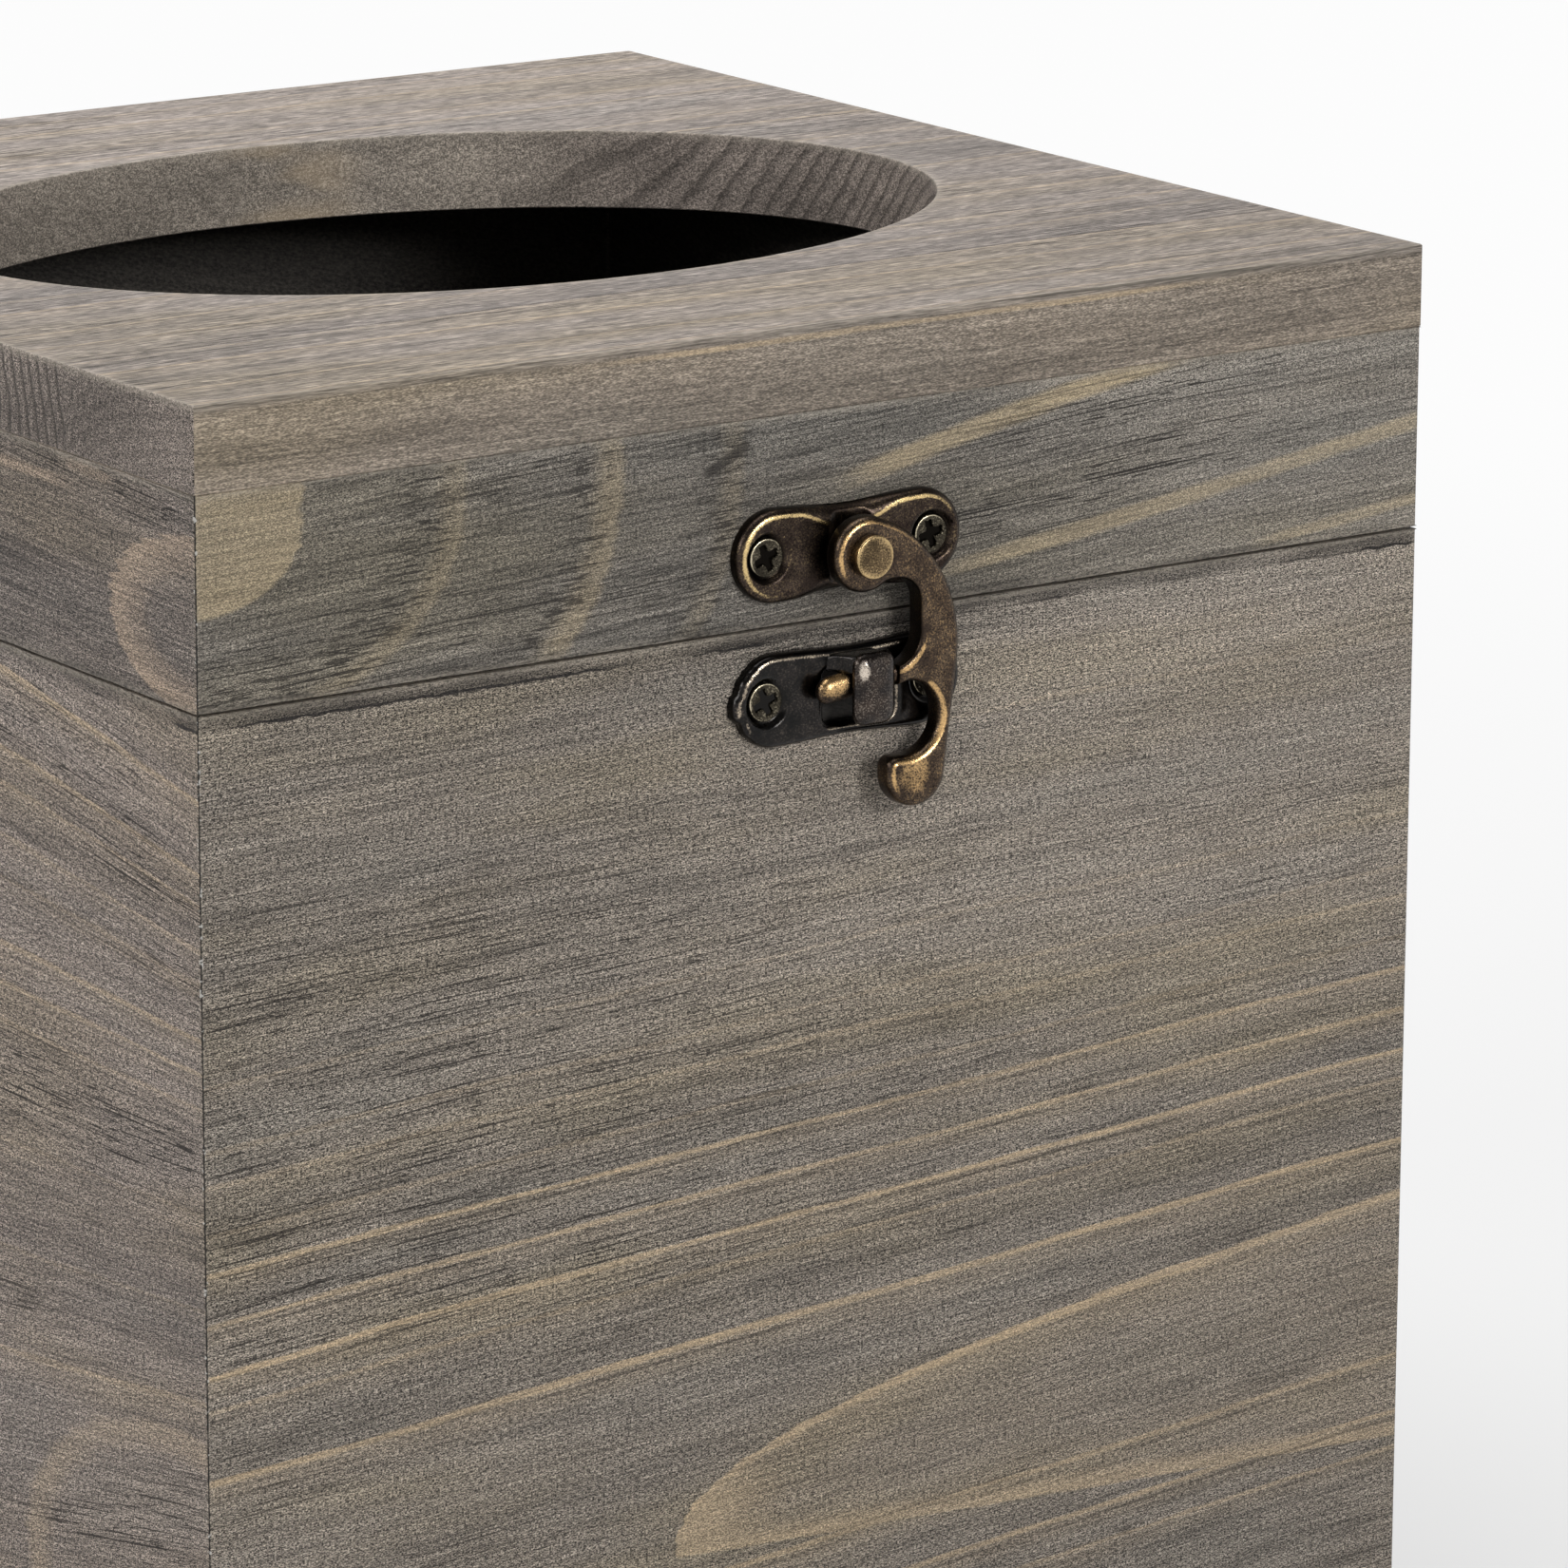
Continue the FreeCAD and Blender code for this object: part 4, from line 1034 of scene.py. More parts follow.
def square_outline(half, corner, step):
    """Points round a square with eased corners, counter-clockwise."""
    points = []
    for quarter in range(4):
        turn = quarter * math.pi / 2
        spin = Matrix.Rotation(turn, 2)
        straight = np.arange(-half + corner + step, half - corner - step / 2, step)
        for place in straight:
            points.append(tuple(spin @ Vector((half, place))))
        centre = spin @ Vector((half - corner, half - corner))
        points.extend(arc_points(centre, corner, turn, turn + math.pi / 2, corner / 2))
    return points


def oval_point(direction):
    """The point of the opening's edge that a board point looks at, and the way out of it."""
    angle = math.atan2(direction[1] * OVAL_HALF_LENGTH, direction[0] * OVAL_HALF_WIDTH)
    spot = Vector((OVAL_HALF_LENGTH * math.cos(angle), OVAL_HALF_WIDTH * math.sin(angle)))
    out = Vector((math.cos(angle) / OVAL_HALF_LENGTH, math.sin(angle) / OVAL_HALF_WIDTH))
    return spot, out.normalized()


def top_ring(spot, low, high):
    """Section of the top between its outer edge and the opening: place, level and wear."""
    edge = Vector(spot)
    hole, out = oval_point(spot)
    ease = BOARD_EASING
    turns = np.linspace(0, math.pi / 2, 5)
    ring = [(edge, high - ease - WEAR_REACH, 0.0)]
    for t in turns:
        ring.append((edge * (1 - ease * (1 - math.cos(t)) / HALF), high - ease + ease * math.sin(t), 1.0))
    ring.append((edge * (1 - (ease + WEAR_REACH) / HALF), high, 0.0))
    ring.append(((edge + hole) / 2, high, 0.0))
    ring.append((hole + out * (ease + WEAR_REACH), high, 0.0))
    for t in turns:
        ring.append((hole + out * ease * (1 - math.sin(t)), high - ease + ease * math.cos(t), 1.0))
    ring.append((hole, high - ease - WEAR_REACH, 0.0))
    ring.append((hole, low + JOINT_EASING, 0.2))
    ring.append((hole + out * JOINT_EASING, low, 0.2))
    ring.append((edge * (1 - JOINT_EASING / HALF), low, 0.3))
    ring.append((edge, low + JOINT_EASING, 0.3))
    ring.append((edge, low + WEAR_REACH, 0.0))
    return ring


def pierced_board(node, body, ends):
    """The top of the lid: a board with eased edges and the oval opening cut through it."""
    low, high = mm_box(node)
    outline = square_outline(HALF, BOARD_EASING, 2.0)
    points, wear_and_highlight, kinds = [], [], []
    for here, after in zip(outline, outline[1:] + outline[:1]):
        for flat, level, rubbed_and_highlight in top_ring(here, low.z, high.z):
            points.append((flat.x, flat.y, level))
            wear_and_highlight.append(rubbed_and_highlight)
        at_end = abs(here[0] + after[0]) / 2 > HALF - BOARD_EASING / 2
        for strip in TOP_STRIPS:
            kinds.append(0 if strip == "edge" and not at_end else STRIP_SLOTS[strip])
    shape = Shape()
    shape.add(points, quads(len(outline), len(TOP_STRIPS)), wear_and_highlight, None, kinds)
    materials = [WOOD[node], ends, INSIDE_SHADE, OPENING_WALL]
    shape.piece(f"{node}_wood", materials, body, node)


def plain_board(node, body, ends):
    """The bottom board, with eased edges."""
    low, high = mm_box(node)
    outline = square_outline(HALF, BOARD_EASING, 2.5)
    turns = np.linspace(0, math.pi / 2, 4)
    shape = Shape()
    levels = [(BOARD_EASING * (1 - math.sin(t)), low.z + BOARD_EASING * (1 - math.cos(t)), 1.0)
              for t in turns]
    levels += [(0.0, low.z + BOARD_EASING + WEAR_REACH, 0.0), (0.0, high.z - JOINT_EASING - WEAR_REACH, 0.0),
               (0.0, high.z - JOINT_EASING, 0.5), (JOINT_EASING, high.z, 0.3)]
    points, wear_and_highlight = [], []
    for inset, level, rubbed_and_highlight in levels:
        for spot in outline:
            flat = Vector(spot) * (1 - inset / HALF)
            points.append((flat.x, flat.y, level))
            wear_and_highlight.append(rubbed_and_highlight)
    count = len(outline)
    faces = quads(len(levels), count, column_closed=False)
    kinds = [1 if abs(here[0] + after[0]) / 2 > HALF - 0.2 else 0
             for here, after in zip(outline, outline[1:] + outline[:1])] * (len(levels) - 1)
    faces.append(tuple(range(count)))
    faces.append(tuple((len(levels) - 1) * count + number for number in range(count)))
    kinds.extend([0, 2])
    shape.add(points, faces, wear_and_highlight, None, kinds)
    shape.piece(f"{node}_wood", [WOOD[node], ends, INSIDE_SHADE], body, node)


# Relief plates: sheets of metal with a shaped front over an outline

def edge_distance(points, loops):
    """Distance of each point from the nearest of the closed loops, and the way out to it."""
    best = np.full(len(points), np.inf)
    way = np.zeros((len(points), 2))
    for loop in loops:
        start = np.asarray(loop, float)
        span = np.roll(start, -1, axis=0) - start
        long = np.maximum((span ** 2).sum(1), 1e-12)
        for number in range(len(start)):
            share = np.clip(((points - start[number]) @ span[number]) / long[number], 0, 1)
            gap = start[number] + share[:, None] * span[number] - points
            far = np.hypot(*gap.T)
            nearer = far < best
            best[nearer] = far[nearer]
            way[nearer] = gap[nearer]
    return best, way / np.maximum(best, 1e-9)[:, None]


def inside_loops(points, loops):
    """True for points inside the outline and outside its holes."""
    inside = np.zeros(len(points), bool)
    for loop in loops:
        start = np.asarray(loop, float)
        after = np.roll(start, -1, axis=0)
        for (ax, ay), (bx, by) in zip(start, after):
            if ay == by:
                continue
            crossing = (ay > points[:, 1]) != (by > points[:, 1])
            reach = ax + (points[:, 1] - ay) * (bx - ax) / (by - ay)
            inside ^= crossing & (points[:, 0] < reach)
    return inside


def offset_loop(loop, distance):
    """A loop moved towards its own left by a distance, without mending its corners."""
    here = np.asarray(loop, float)
    along = np.roll(here, -1, axis=0) - np.roll(here, 1, axis=0)
    along /= np.maximum(np.hypot(*along.T), 1e-9)[:, None]
    return here + distance * np.column_stack((-along[:, 1], along[:, 0]))


def triangles(points, loops):
    """Triangles over the points that lie inside the outline and outside its holes."""
    sides, start = [], 0
    for loop in loops:
        count = len(loop)
        sides.extend((start + i, start + (i + 1) % count) for i in range(count))
        start += count
    flat = [Vector(p) for p in points]
    spots, _, found, origin, _, _ = geometry.delaunay_2d_cdt(flat, sides, [], 0, 1e-5)
    spots = np.array([tuple(p) for p in spots])
    middle = np.array([spots[list(face)].mean(0) for face in found])
    keep = inside_loops(middle, loops)
    place = {source: number for number, sources in enumerate(origin) for source in sources}
    return spots, [tuple(f) for f, k in zip(found, keep) if k], place


def relief(loops, step, rings, front, back):
    """A piece of metal over an outline with holes. front and back give heights from depth.

    The outline runs counter-clockwise and its holes clockwise, so that the metal is on the left.
    Returns points as (across, up, height), faces, the distance of each point from the rim, the way
    to the rim, and which points are on the front.
    """
    border = np.vstack([np.asarray(loop, float) for loop in loops])
    low, high = border.min(0), border.max(0)
    extra = []
    for ring in rings:
        for loop in loops:
            moved = offset_loop(loop, ring)
            good = inside_loops(moved, loops) & (edge_distance(moved, loops)[0] > 0.92 * ring)
            extra.append(moved[good])
    across = np.arange(low[0], high[0], step)
    up = np.arange(low[1], high[1], step * 0.866)
    grid = np.array([(x + (row % 2) * step / 2, z) for row, z in enumerate(up) for x in across])
    grid = grid[inside_loops(grid, loops)]
    grid = grid[edge_distance(grid, loops)[0] > rings[-1] + 0.5 * step]
    spots, faces, place = triangles(np.vstack([border, *extra, grid]), loops)
    depth, way = edge_distance(spots, loops)
    count = len(spots)
    flat = np.vstack([spots, spots])
    heights = np.concatenate([front(spots, depth), back(spots, depth)])
    faces = faces + [tuple(i + count for i in reversed(face)) for face in faces]
    start = 0
    for loop in loops:
        for number in range(len(loop)):
            here, after = place[start + number], place[start + (number + 1) % len(loop)]
            faces.append((here, after, count + after, count + here))
        start += len(loop)
    points = np.column_stack([flat, heights])
    return points, faces, np.tile(depth, 2), np.tile(way, (2, 1)), np.arange(2 * count) < count


def rounded(distance, top, radius):
    """Height of a front that is rounded over along its edge."""
    short = np.clip(radius - distance, 0, radius)
    return top - radius + np.sqrt(np.maximum(radius ** 2 - short ** 2, 0))


def smooth(value, low, high):
    """0 below low, 1 above high, smooth in between."""
    share = np.clip((value - low) / (high - low), 0, 1)
    return share * share * (3 - 2 * share)


def reach_from(points, across, up):
    """Distance of relief points from a place on the face."""
    return np.hypot(points[:, 0] - across, points[:, 1] - up)


def ridge_wear_and_highlight(depth, way, middle, width, even):
    """Wear along a ridge near the rim where hands fall, with a painted highlight that makes it strongest on
    the upper left, where the light falls.
    """
    ridge = 1 - smooth(np.abs(depth - middle), 0.3 * width, width)
    # The lean to the upper left is painted highlight, on the rims that face the light
    turned = np.clip(0.5 - 0.6 * way[:, 0] + 0.5 * way[:, 1], 0, 1)
    return ridge * (even + (1 - even) * turned)


def on_front(points, x, z):
    """Puts relief points on the front face of the box."""
    return [(x + px, -HALF - height, z + pz) for px, pz, height in points]


def on_back(points, x, z):
    """Puts relief points on the back face of the box."""
    return [(x - px, HALF + height, z + pz) for px, pz, height in points]


def flat_back(height):
    """A flat back at one height."""
    return lambda points, depth: np.full(len(points), height)


def lathe(profile, steps=48):
    """A turned solid about the height axis, from (radius, height) pairs that start and end on it."""
    points, faces = [], []
    turns = [2 * math.pi * i / steps for i in range(steps)]
    rows = []
    for radius, height in profile:
        if radius < 1e-6:
            rows.append([len(points)])
            points.append((0.0, 0.0, height))
        else:
            rows.append(list(range(len(points), len(points) + steps)))
            points.extend((radius * math.cos(t), radius * math.sin(t), height) for t in turns)
    for low, high in zip(rows, rows[1:]):
        for i in range(steps):
            j = (i + 1) % steps
            corners = [low[i % len(low)], low[j % len(low)], high[j % len(high)], high[i % len(high)]]
            faces.append(tuple(dict.fromkeys(corners)))
    return points, faces


# Latch

def cast_end(x, z):
    """How far the cast left end of the catch plate is eaten away, and its nub."""
    eaten = CAST_END * abs(noise.noise(Vector((x * 0.8, z * 1.1, 2.0))))
    nub = CAST_NUB * smooth(1.5 - abs(z + 0.3), 0.0, 0.5)
    return smooth(-x, 10.0, 12.0) * (eaten - nub)


def plate_outline(waist, cast=False):
    """A plate with two full-round ends and a drawn-in middle, counter-clockwise."""
    middle = PLATE_HALF_LENGTH - PLATE_HALF_WIDTH
    quarter = math.pi / 2
    right = arc_points((middle, 0.0), PLATE_HALF_WIDTH, -quarter, quarter, 0.3)
    left = arc_points((-middle, 0.0), PLATE_HALF_WIDTH, quarter, 3 * quarter, 0.3)
    across = np.linspace(middle, -middle, 56)[1:-1]
    top = [(x, PLATE_HALF_WIDTH - waist * (0.5 + 0.5 * math.cos(math.pi * x / middle))) for x in across]
    low = [(x, -z) for x, z in reversed(top)]
    if cast:
        left = [(x + cast_end(x, z), z) for x, z in left]
    return right + top + left + low


def seat_distance(points):
    """Distance of points on a plate from the nearer of its two screws."""
    return np.hypot(np.abs(points[:, 0]) - SCREW_SPOT, points[:, 1])


def screw_seats(points):
    """Depth of the dishes round the screws of a plate."""
    return SEAT_DEPTH * (1 - smooth(seat_distance(points), SEAT_INNER, SEAT_OUTER))


def plate_dirt_and_shade(points, depth, shown):
    """Dark ring round each screw and on the side wall of a plate: dirt, and painted shade where these gaps
    lie in shade.
    """
    ring = 1 - smooth(seat_distance(points), SEAT_INNER, SEAT_INNER + 0.4)
    wall = 0.7 * (1 - smooth(depth, 0.0, 0.25))
    return (np.maximum(ring, wall) * shown).tolist()


def rim_rounding(side):
    """How far the rim of the latch plate is rounded over: further at its neck than on its lobes."""
    return PLATE_ROUNDING + NECK_SOFTENING * (1 - smooth(side, *NECK_REACH))


def latch_plate():
    """The plate on the lid: two raised lobes with rubbed rims, a low neck and the round boss."""
    def front(points, depth):
        side = np.abs(points[:, 0])
        slope = rim_rounding(side)
        heights = rounded(np.minimum(depth, slope), LATCH_PLATE_TOP, slope)
        heights = np.minimum(heights, NECK_TOP + (LATCH_PLATE_TOP - NECK_TOP) * smooth(side, *NECK_END))
        return heights - LOBE_DISH * smooth(depth, 1.0, 2.2) - screw_seats(points)

    shape = Shape()
    outline = plate_outline(LATCH_WAIST)
    points, faces, depth, way, shown = relief([outline], 0.26, RINGS, front, flat_back(0.0))
    side = np.abs(points[:, 0])
    # Rims rubbed bright, lit more on the upper left as painted highlight; a rubbed lip round each seat
    wear_and_highlight = ridge_wear_and_highlight(depth - rim_rounding(side), way, -0.2, 0.45, 0.55) * smooth(side, 1.8, 3.0)
    lip = 0.6 * (1 - smooth(np.abs(seat_distance(points) - SEAT_OUTER), 0.1, 0.4))
    wear_and_highlight = np.maximum(wear_and_highlight, lip) * shown
    shape.add(on_front(points, LATCH_X, LATCH_Z), faces, wear_and_highlight.tolist(), plate_dirt_and_shade(points, depth, shown))
    boss, boss_faces = lathe([(0.0, 0.5), (BOSS_RADIUS, 0.5), (BOSS_RADIUS, BOSS_TOP - 0.25),
                              (BOSS_RADIUS - 0.25, BOSS_TOP), (0.0, BOSS_TOP)])
    shape.add(on_front(boss, LATCH_X, PIVOT_Z), boss_faces, [0.0] * len(boss))
    shape.piece("latch_plate_metal", [PLATE_BRASS], "lid", "latch_plate")


def hook_outline():
    """The front outline of the hook, counter-clockwise: eye, gap, crook, bay, foot, arm."""
    step = 0.22
    quarter = math.pi / 2
    arm_reach = math.hypot(FOOT[0] - ARM[0], FOOT[1] - ARM[1])
    side = math.atan2(FOOT[1] - ARM[1], FOOT[0] - ARM[0]) + math.acos((ARM[2] - FOOT[2]) / arm_reach)
    crown = math.atan2(-ARM[1], -ARM[0])
    chin = math.atan2(GAP[1], GAP[0])
    brow = math.acos((PRONG_ROOT - BAY[0]) / BAY[2])
    sole = -math.acos((PRONG_ROOT - CROOK[0]) / CROOK[2])
    heel = FOOT[0] - FOOT[2]
    toe = (heel + TOE_CORNER, BAY[1] - BAY[2] - TOE_CORNER)
    parts = [
        arc_points(EYE, EYE[2], crown, chin + 4 * quarter, step),
        arc_points(GAP, GAP[2], chin + 2 * quarter, 0.0, step),
        arc_points(CROOK, CROOK[2], 0.0, sole, step),
        arc_points(BAY, BAY[2], brow, -quarter, step),
        arc_points(toe, TOE_CORNER, quarter, 2 * quarter, step),
        arc_points(FOOT, FOOT[2], 2 * quarter, side + 4 * quarter, step),
        arc_points(ARM, ARM[2], side, crown, step),
    ]
    return spread([p for part in parts for p in part], step)


def spread(points, step):
    """The same closed outline with points at even distances along it."""
    path = np.asarray(points + points[:1], float)
    gaps = np.hypot(*np.diff(path, axis=0).T)
    path = path[np.concatenate([[True], gaps > 1e-6])]
    run = np.concatenate([[0.0], np.cumsum(np.hypot(*np.diff(path, axis=0).T))])
    places = np.linspace(0, run[-1], int(run[-1] / step) + 1)[:-1]
    return list(zip(np.interp(places, run, path[:, 0]), np.interp(places, run, path[:, 1])))


def prong_points():
    """The finger of the hook that lies under the catch: a tapering bar with a bullet tip."""
    steps = 24
    stations = list(FINGER_SECTIONS)
    for turn in np.linspace(0, math.pi / 2, 8)[:-1]:
        across = PRONG_TIP + BULLET_LENGTH - BULLET_LENGTH * math.sin(turn)
        share = math.cos(turn)
        stations.append((across, FINGER_HEIGHT, BULLET_HALF_WIDTH * share, BULLET_HALF_DEPTH * share))
    points = []
    for across, height, wide, thick in stations:
        middle = across * math.tan(PRONG_SLOPE) - PRONG_DROP
        for i in range(steps):
            t = 2 * math.pi * i / steps
            points.append((across, middle + wide * math.cos(t), height + thick * math.sin(t)))
    faces = quads(len(stations), steps, column_closed=False)
    faces.append(tuple(range(steps)))
    tip = len(points)
    points.append((PRONG_TIP, PRONG_TIP * math.tan(PRONG_SLOPE) - PRONG_DROP, FINGER_HEIGHT))
    faces.extend((tip - steps + i, tip - steps + (i + 1) % steps, tip) for i in range(steps))
    # Painted highlight on the front and upper side of the finger, towards its tip
    wear_and_highlight = []
    for across, up, height in points:
        lit = (height - FINGER_HEIGHT) * 0.7 + (up + PRONG_DROP - across * math.tan(PRONG_SLOPE)) * 0.35
        wear_and_highlight.append(0.25 + 0.75 * float(smooth(lit, -0.3, 0.9)) * float(smooth(-across, 0.5, 2.0)))
    return points, faces, wear_and_highlight


def latch_hook():
    """The hook: a rounded bar with an eye on the rivet, a thumb foot and a finger."""
    def in_gap(points):
        reach = np.hypot(points[:, 0] - GAP[0] + 0.4, 0.6 * (points[:, 1] - GAP[1] + 1.5))
        return (1 - smooth(reach, 3.6, 4.4)) * smooth(points[:, 0], 2.0, 4.0)

    def front(points, depth):
        return rounded(depth, HOOK_FRONT, HOOK_ROUNDING * (1 - 0.55 * in_gap(points)))

    def back(points, depth):
        eased = 0.2 + (HOOK_UNDERSIDE - 0.2) * smooth(points[:, 1], -19.0, -10.0) * (1 - in_gap(points))
        return HOOK_BACK - rounded(depth, 0.0, eased)

    shape = Shape()
    points, faces, depth, way, shown = relief([hook_outline()], 0.3, RINGS, front, back)
    # Rims rubbed bright and lit more on the upper left as painted highlight; painted highlights along the
    # bay's ridge, the crook and the upper rim of the eye, held back in the gap, which lies in shade; the
    # thumb foot rubbed bright
    wear_and_highlight = ridge_wear_and_highlight(depth, way, 0.55, 0.38, 0.10)
    bay = reach_from(points, *BAY[:2]) - BAY[2]
    bay_highlight = (1 - smooth(np.abs(bay - 0.45), 0.1, 0.5)) * smooth(points[:, 0], 6.5, 8.0)
    foot = 0.80 * (1 - smooth(reach_from(points, FOOT[0] - 0.6, FOOT[1]), 1.2, 4.2))
    eye_rim_highlight = smooth(points[:, 1], -3.0, 0.0) * ridge_wear_and_highlight(depth, way, 0.6, 0.4, 0.3)
    crook = reach_from(points, *CROOK[:2]) - CROOK[2]
    crook_highlight = (1 - smooth(np.abs(crook - 0.55), 0.1, 0.55)) * smooth(-points[:, 1], 9.0, 10.5)
    wear_and_highlight = wear_and_highlight * (1 - 0.8 * in_gap(points))
    wear_and_highlight = np.maximum.reduce([wear_and_highlight, bay_highlight, foot, eye_rim_highlight, crook_highlight]) * shown
    # Side walls and back darkened: dirt in the patina, and painted shade strongest on the walls up in the
    # gap under the arm
    wall_shade = 0.3 + 0.7 * smooth(points[:, 1], -14.0, -11.0)
    soot_and_shade = np.where(shown, 0.75 * (1 - smooth(depth, 0.0, 0.3)), 0.85) * wall_shade
    shape.add(on_front(points, LATCH_X, PIVOT_Z), faces, wear_and_highlight.tolist(), soot_and_shade.tolist())
    finger, finger_faces, finger_highlight = prong_points()
    shape.add(on_front(finger, LATCH_X, PIVOT_Z), finger_faces, finger_highlight)
    shape.piece("latch_hook_metal", [HOOK_BRASS], "hook", "latch_hook")


def latch_rivet():
    """The rivet: a flat head with a rounded rim on a plain shank."""
    profile = [(0.0, 0.3), (RIVET_SHANK, 0.3), (RIVET_SHANK, HOOK_FRONT + 0.02),
               (RIVET_RADIUS, HOOK_FRONT + 0.05)]
    for turn in np.linspace(0, math.pi / 2, 6):
        profile.append((RIVET_RADIUS - RIVET_EASING * (1 - math.cos(turn)),
                        RIVET_TOP - RIVET_EASING * (1 - math.sin(turn))))
    profile += [(1.2, RIVET_TOP - 0.02), (0.0, RIVET_TOP - 0.03)]
    points, faces = lathe(profile, 64)
    wear_and_highlight = []
    for across, up, height in points:
        on_rim = math.hypot(across, up) > RIVET_RADIUS - 0.25 and height > RIVET_TOP - 0.35
        wear_and_highlight.append(0.9 if on_rim else 0.25)
    shape = Shape()
    shape.add(on_front(points, LATCH_X, PIVOT_Z), faces, wear_and_highlight)
    shape.piece("latch_rivet_metal", [RIVET_BRASS], "lid", "latch_rivet")


def rounded_box(left, right, low, high, low_corner, high_corner):
    """A rectangle with rounded corners, counter-clockwise."""
    quarter = math.pi / 2
    corners = [
        ((right - low_corner, low + low_corner), low_corner, -quarter),
        ((right - high_corner, high - high_corner), high_corner, 0.0),
        ((left + high_corner, high - high_corner), high_corner, quarter),
        ((left + low_corner, low + low_corner), low_corner, 2 * quarter),
    ]
    points = []
    for centre, radius, start in corners:
        points.extend(arc_points(centre, radius, start, start + quarter, 0.2))
    return spread(points, 0.2)


def catch_body(shape):
    """The catch plate itself, with its cast end and its window."""
    def front(points, depth):
        heights = rounded(depth, CATCH_PLATE_TOP, CATCH_ROUNDING)
        return heights - CATCH_DISH * smooth(depth, 1.0, 2.0) - screw_seats(points)

    window = rounded_box(WINDOW_LEFT, WINDOW_RIGHT, WINDOW_LOW, WINDOW_HIGH, 0.7, 0.5)[::-1]
    loops = [plate_outline(CATCH_WAIST, cast=True), window]
    points, faces, depth, way, shown = relief(loops, 0.28, RINGS, front, flat_back(0.0))
    # Rims rubbed bright, lit more on the upper left as a pale painted highlight; the cast end rubbed brown
    wear_and_highlight = ridge_wear_and_highlight(depth, way, 0.6, 0.4, 0.2) * shown
    patch = 1 - smooth(reach_from(points, *RUBBED_END), 0.6, 1.6)
    wear_and_highlight = np.maximum(wear_and_highlight, 0.7 * patch)
    shape.add(on_front(points, LATCH_X, CATCH_Z), faces, wear_and_highlight.tolist(), plate_dirt_and_shade(points, depth, shown))


def catch_tab(shape):
    """The tab that reaches over the finger of the hook, with a swollen front."""
    def front(points, depth):
        return rounded(depth * TAB_SWELL / TAB_ROUNDING, TAB_FRONT, TAB_SWELL)

    def back(points, depth):
        under = TAB_BACK + TAB_FRONT - rounded(depth, TAB_FRONT, 0.4)
        return np.minimum(under, front(points, depth) - 0.1)

    outline = rounded_box(TAB_LEFT, TAB_RIGHT, TAB_LOW, TAB_HIGH, 1.5, 1.3)
    points, faces, depth, way, shown = relief([outline], 0.24, RINGS, front, back)
    # Painted highlight: a bright patch at the upper left corner and along the upper rims; brown flecks on
    # the lower half
    spot = np.hypot(points[:, 0] - TAB_LEFT - 0.9, 0.55 * (points[:, 1] - TAB_HIGH + 1.7))
    rubbed_and_highlight = 1 - smooth(spot, 0.1, 1.2)
    upper = 0.55 * ridge_wear_and_highlight(depth, way, 0.7, 0.6, 0.0) * smooth(points[:, 1], 0.5, 3.0)
    wear_and_highlight = np.maximum(np.maximum(upper, rubbed_and_highlight), 0.22 * smooth(-points[:, 1], -1.5, 1.5)) * shown
    shape.add(on_front(points, LATCH_X, CATCH_Z), faces, wear_and_highlight.tolist(), None, [2] * len(faces))


def catch_root(shape):
    """The slope by which the tab rises from the plate above the window."""
    def front(points, depth):
        ramp = smooth(points[:, 0], TAB_LEFT - ROOT_REACH, TAB_LEFT + 0.5)
        high = CATCH_PLATE_TOP + (TAB_BACK + 0.35 - CATCH_PLATE_TOP) * ramp
        return rounded(depth, high, 0.35)

    outline = rounded_box(TAB_LEFT - ROOT_REACH, TAB_RIGHT - 0.2, WINDOW_HIGH, TAB_HIGH - 0.3, 0.4, 0.9)
    points, faces, depth, way, shown = relief([outline], 0.28, RINGS[:5], front, flat_back(0.4))
    # A painted glint on the rim at the low left end of the slope
    low_end = 1 - smooth(points[:, 0], TAB_LEFT - 1.2, TAB_LEFT - 0.4)
    wear_and_highlight = 0.5 * ridge_wear_and_highlight(depth, way, 0.3, 0.3, 0.2) * low_end * shown
    shape.add(on_front(points, LATCH_X, CATCH_Z), faces, wear_and_highlight.tolist())


def window_shade_sheet(shape):
    """A dark sheet in the window of the catch plate: painted shade, for the wood that lies in shade under
    the window.
    """
    def front(points, depth):
        return rounded(depth, 0.1, 0.04)

    spare = 0.3
    outline = rounded_box(WINDOW_LEFT - spare, WINDOW_RIGHT + spare, WINDOW_LOW - spare, WINDOW_HIGH + spare,
                          0.5, 0.5)
    points, faces, *_ = relief([outline], 0.5, RINGS[:1], front, flat_back(0.0))
    shape.add(on_front(points, LATCH_X, CATCH_Z), faces, [0.0] * len(points), None, [1] * len(faces))


def catch_plate():
    """The plate on the base, with its window and the tab over the finger."""
    shape = Shape()
    for part in (catch_body, catch_tab, catch_root, window_shade_sheet):
        part(shape)
    materials = [DARK_BRASS, INSIDE_SHADE, TAB_BRASS]
    shape.piece("catch_plate_metal", materials, "base", "catch_plate")


# Screws

def cross_recess(points, turn, radius):
    """1 at the bottom of a tapered cross recess, 0 outside it."""
    span, width = RECESS_SPAN * radius, RECESS_WIDTH * radius
    a = points[:, 0] * math.cos(turn) + points[:, 1] * math.sin(turn)
    b = points[:, 1] * math.cos(turn) - points[:, 0] * math.sin(turn)
    one = np.minimum(width - np.abs(a), span - np.abs(b))
    two = np.minimum(width - np.abs(b), span - np.abs(a))
    centre = 0.5 * span - np.hypot(a, b)
    inside = np.maximum(np.maximum(one, two), centre)
    return smooth(inside, -0.06, 0.20)


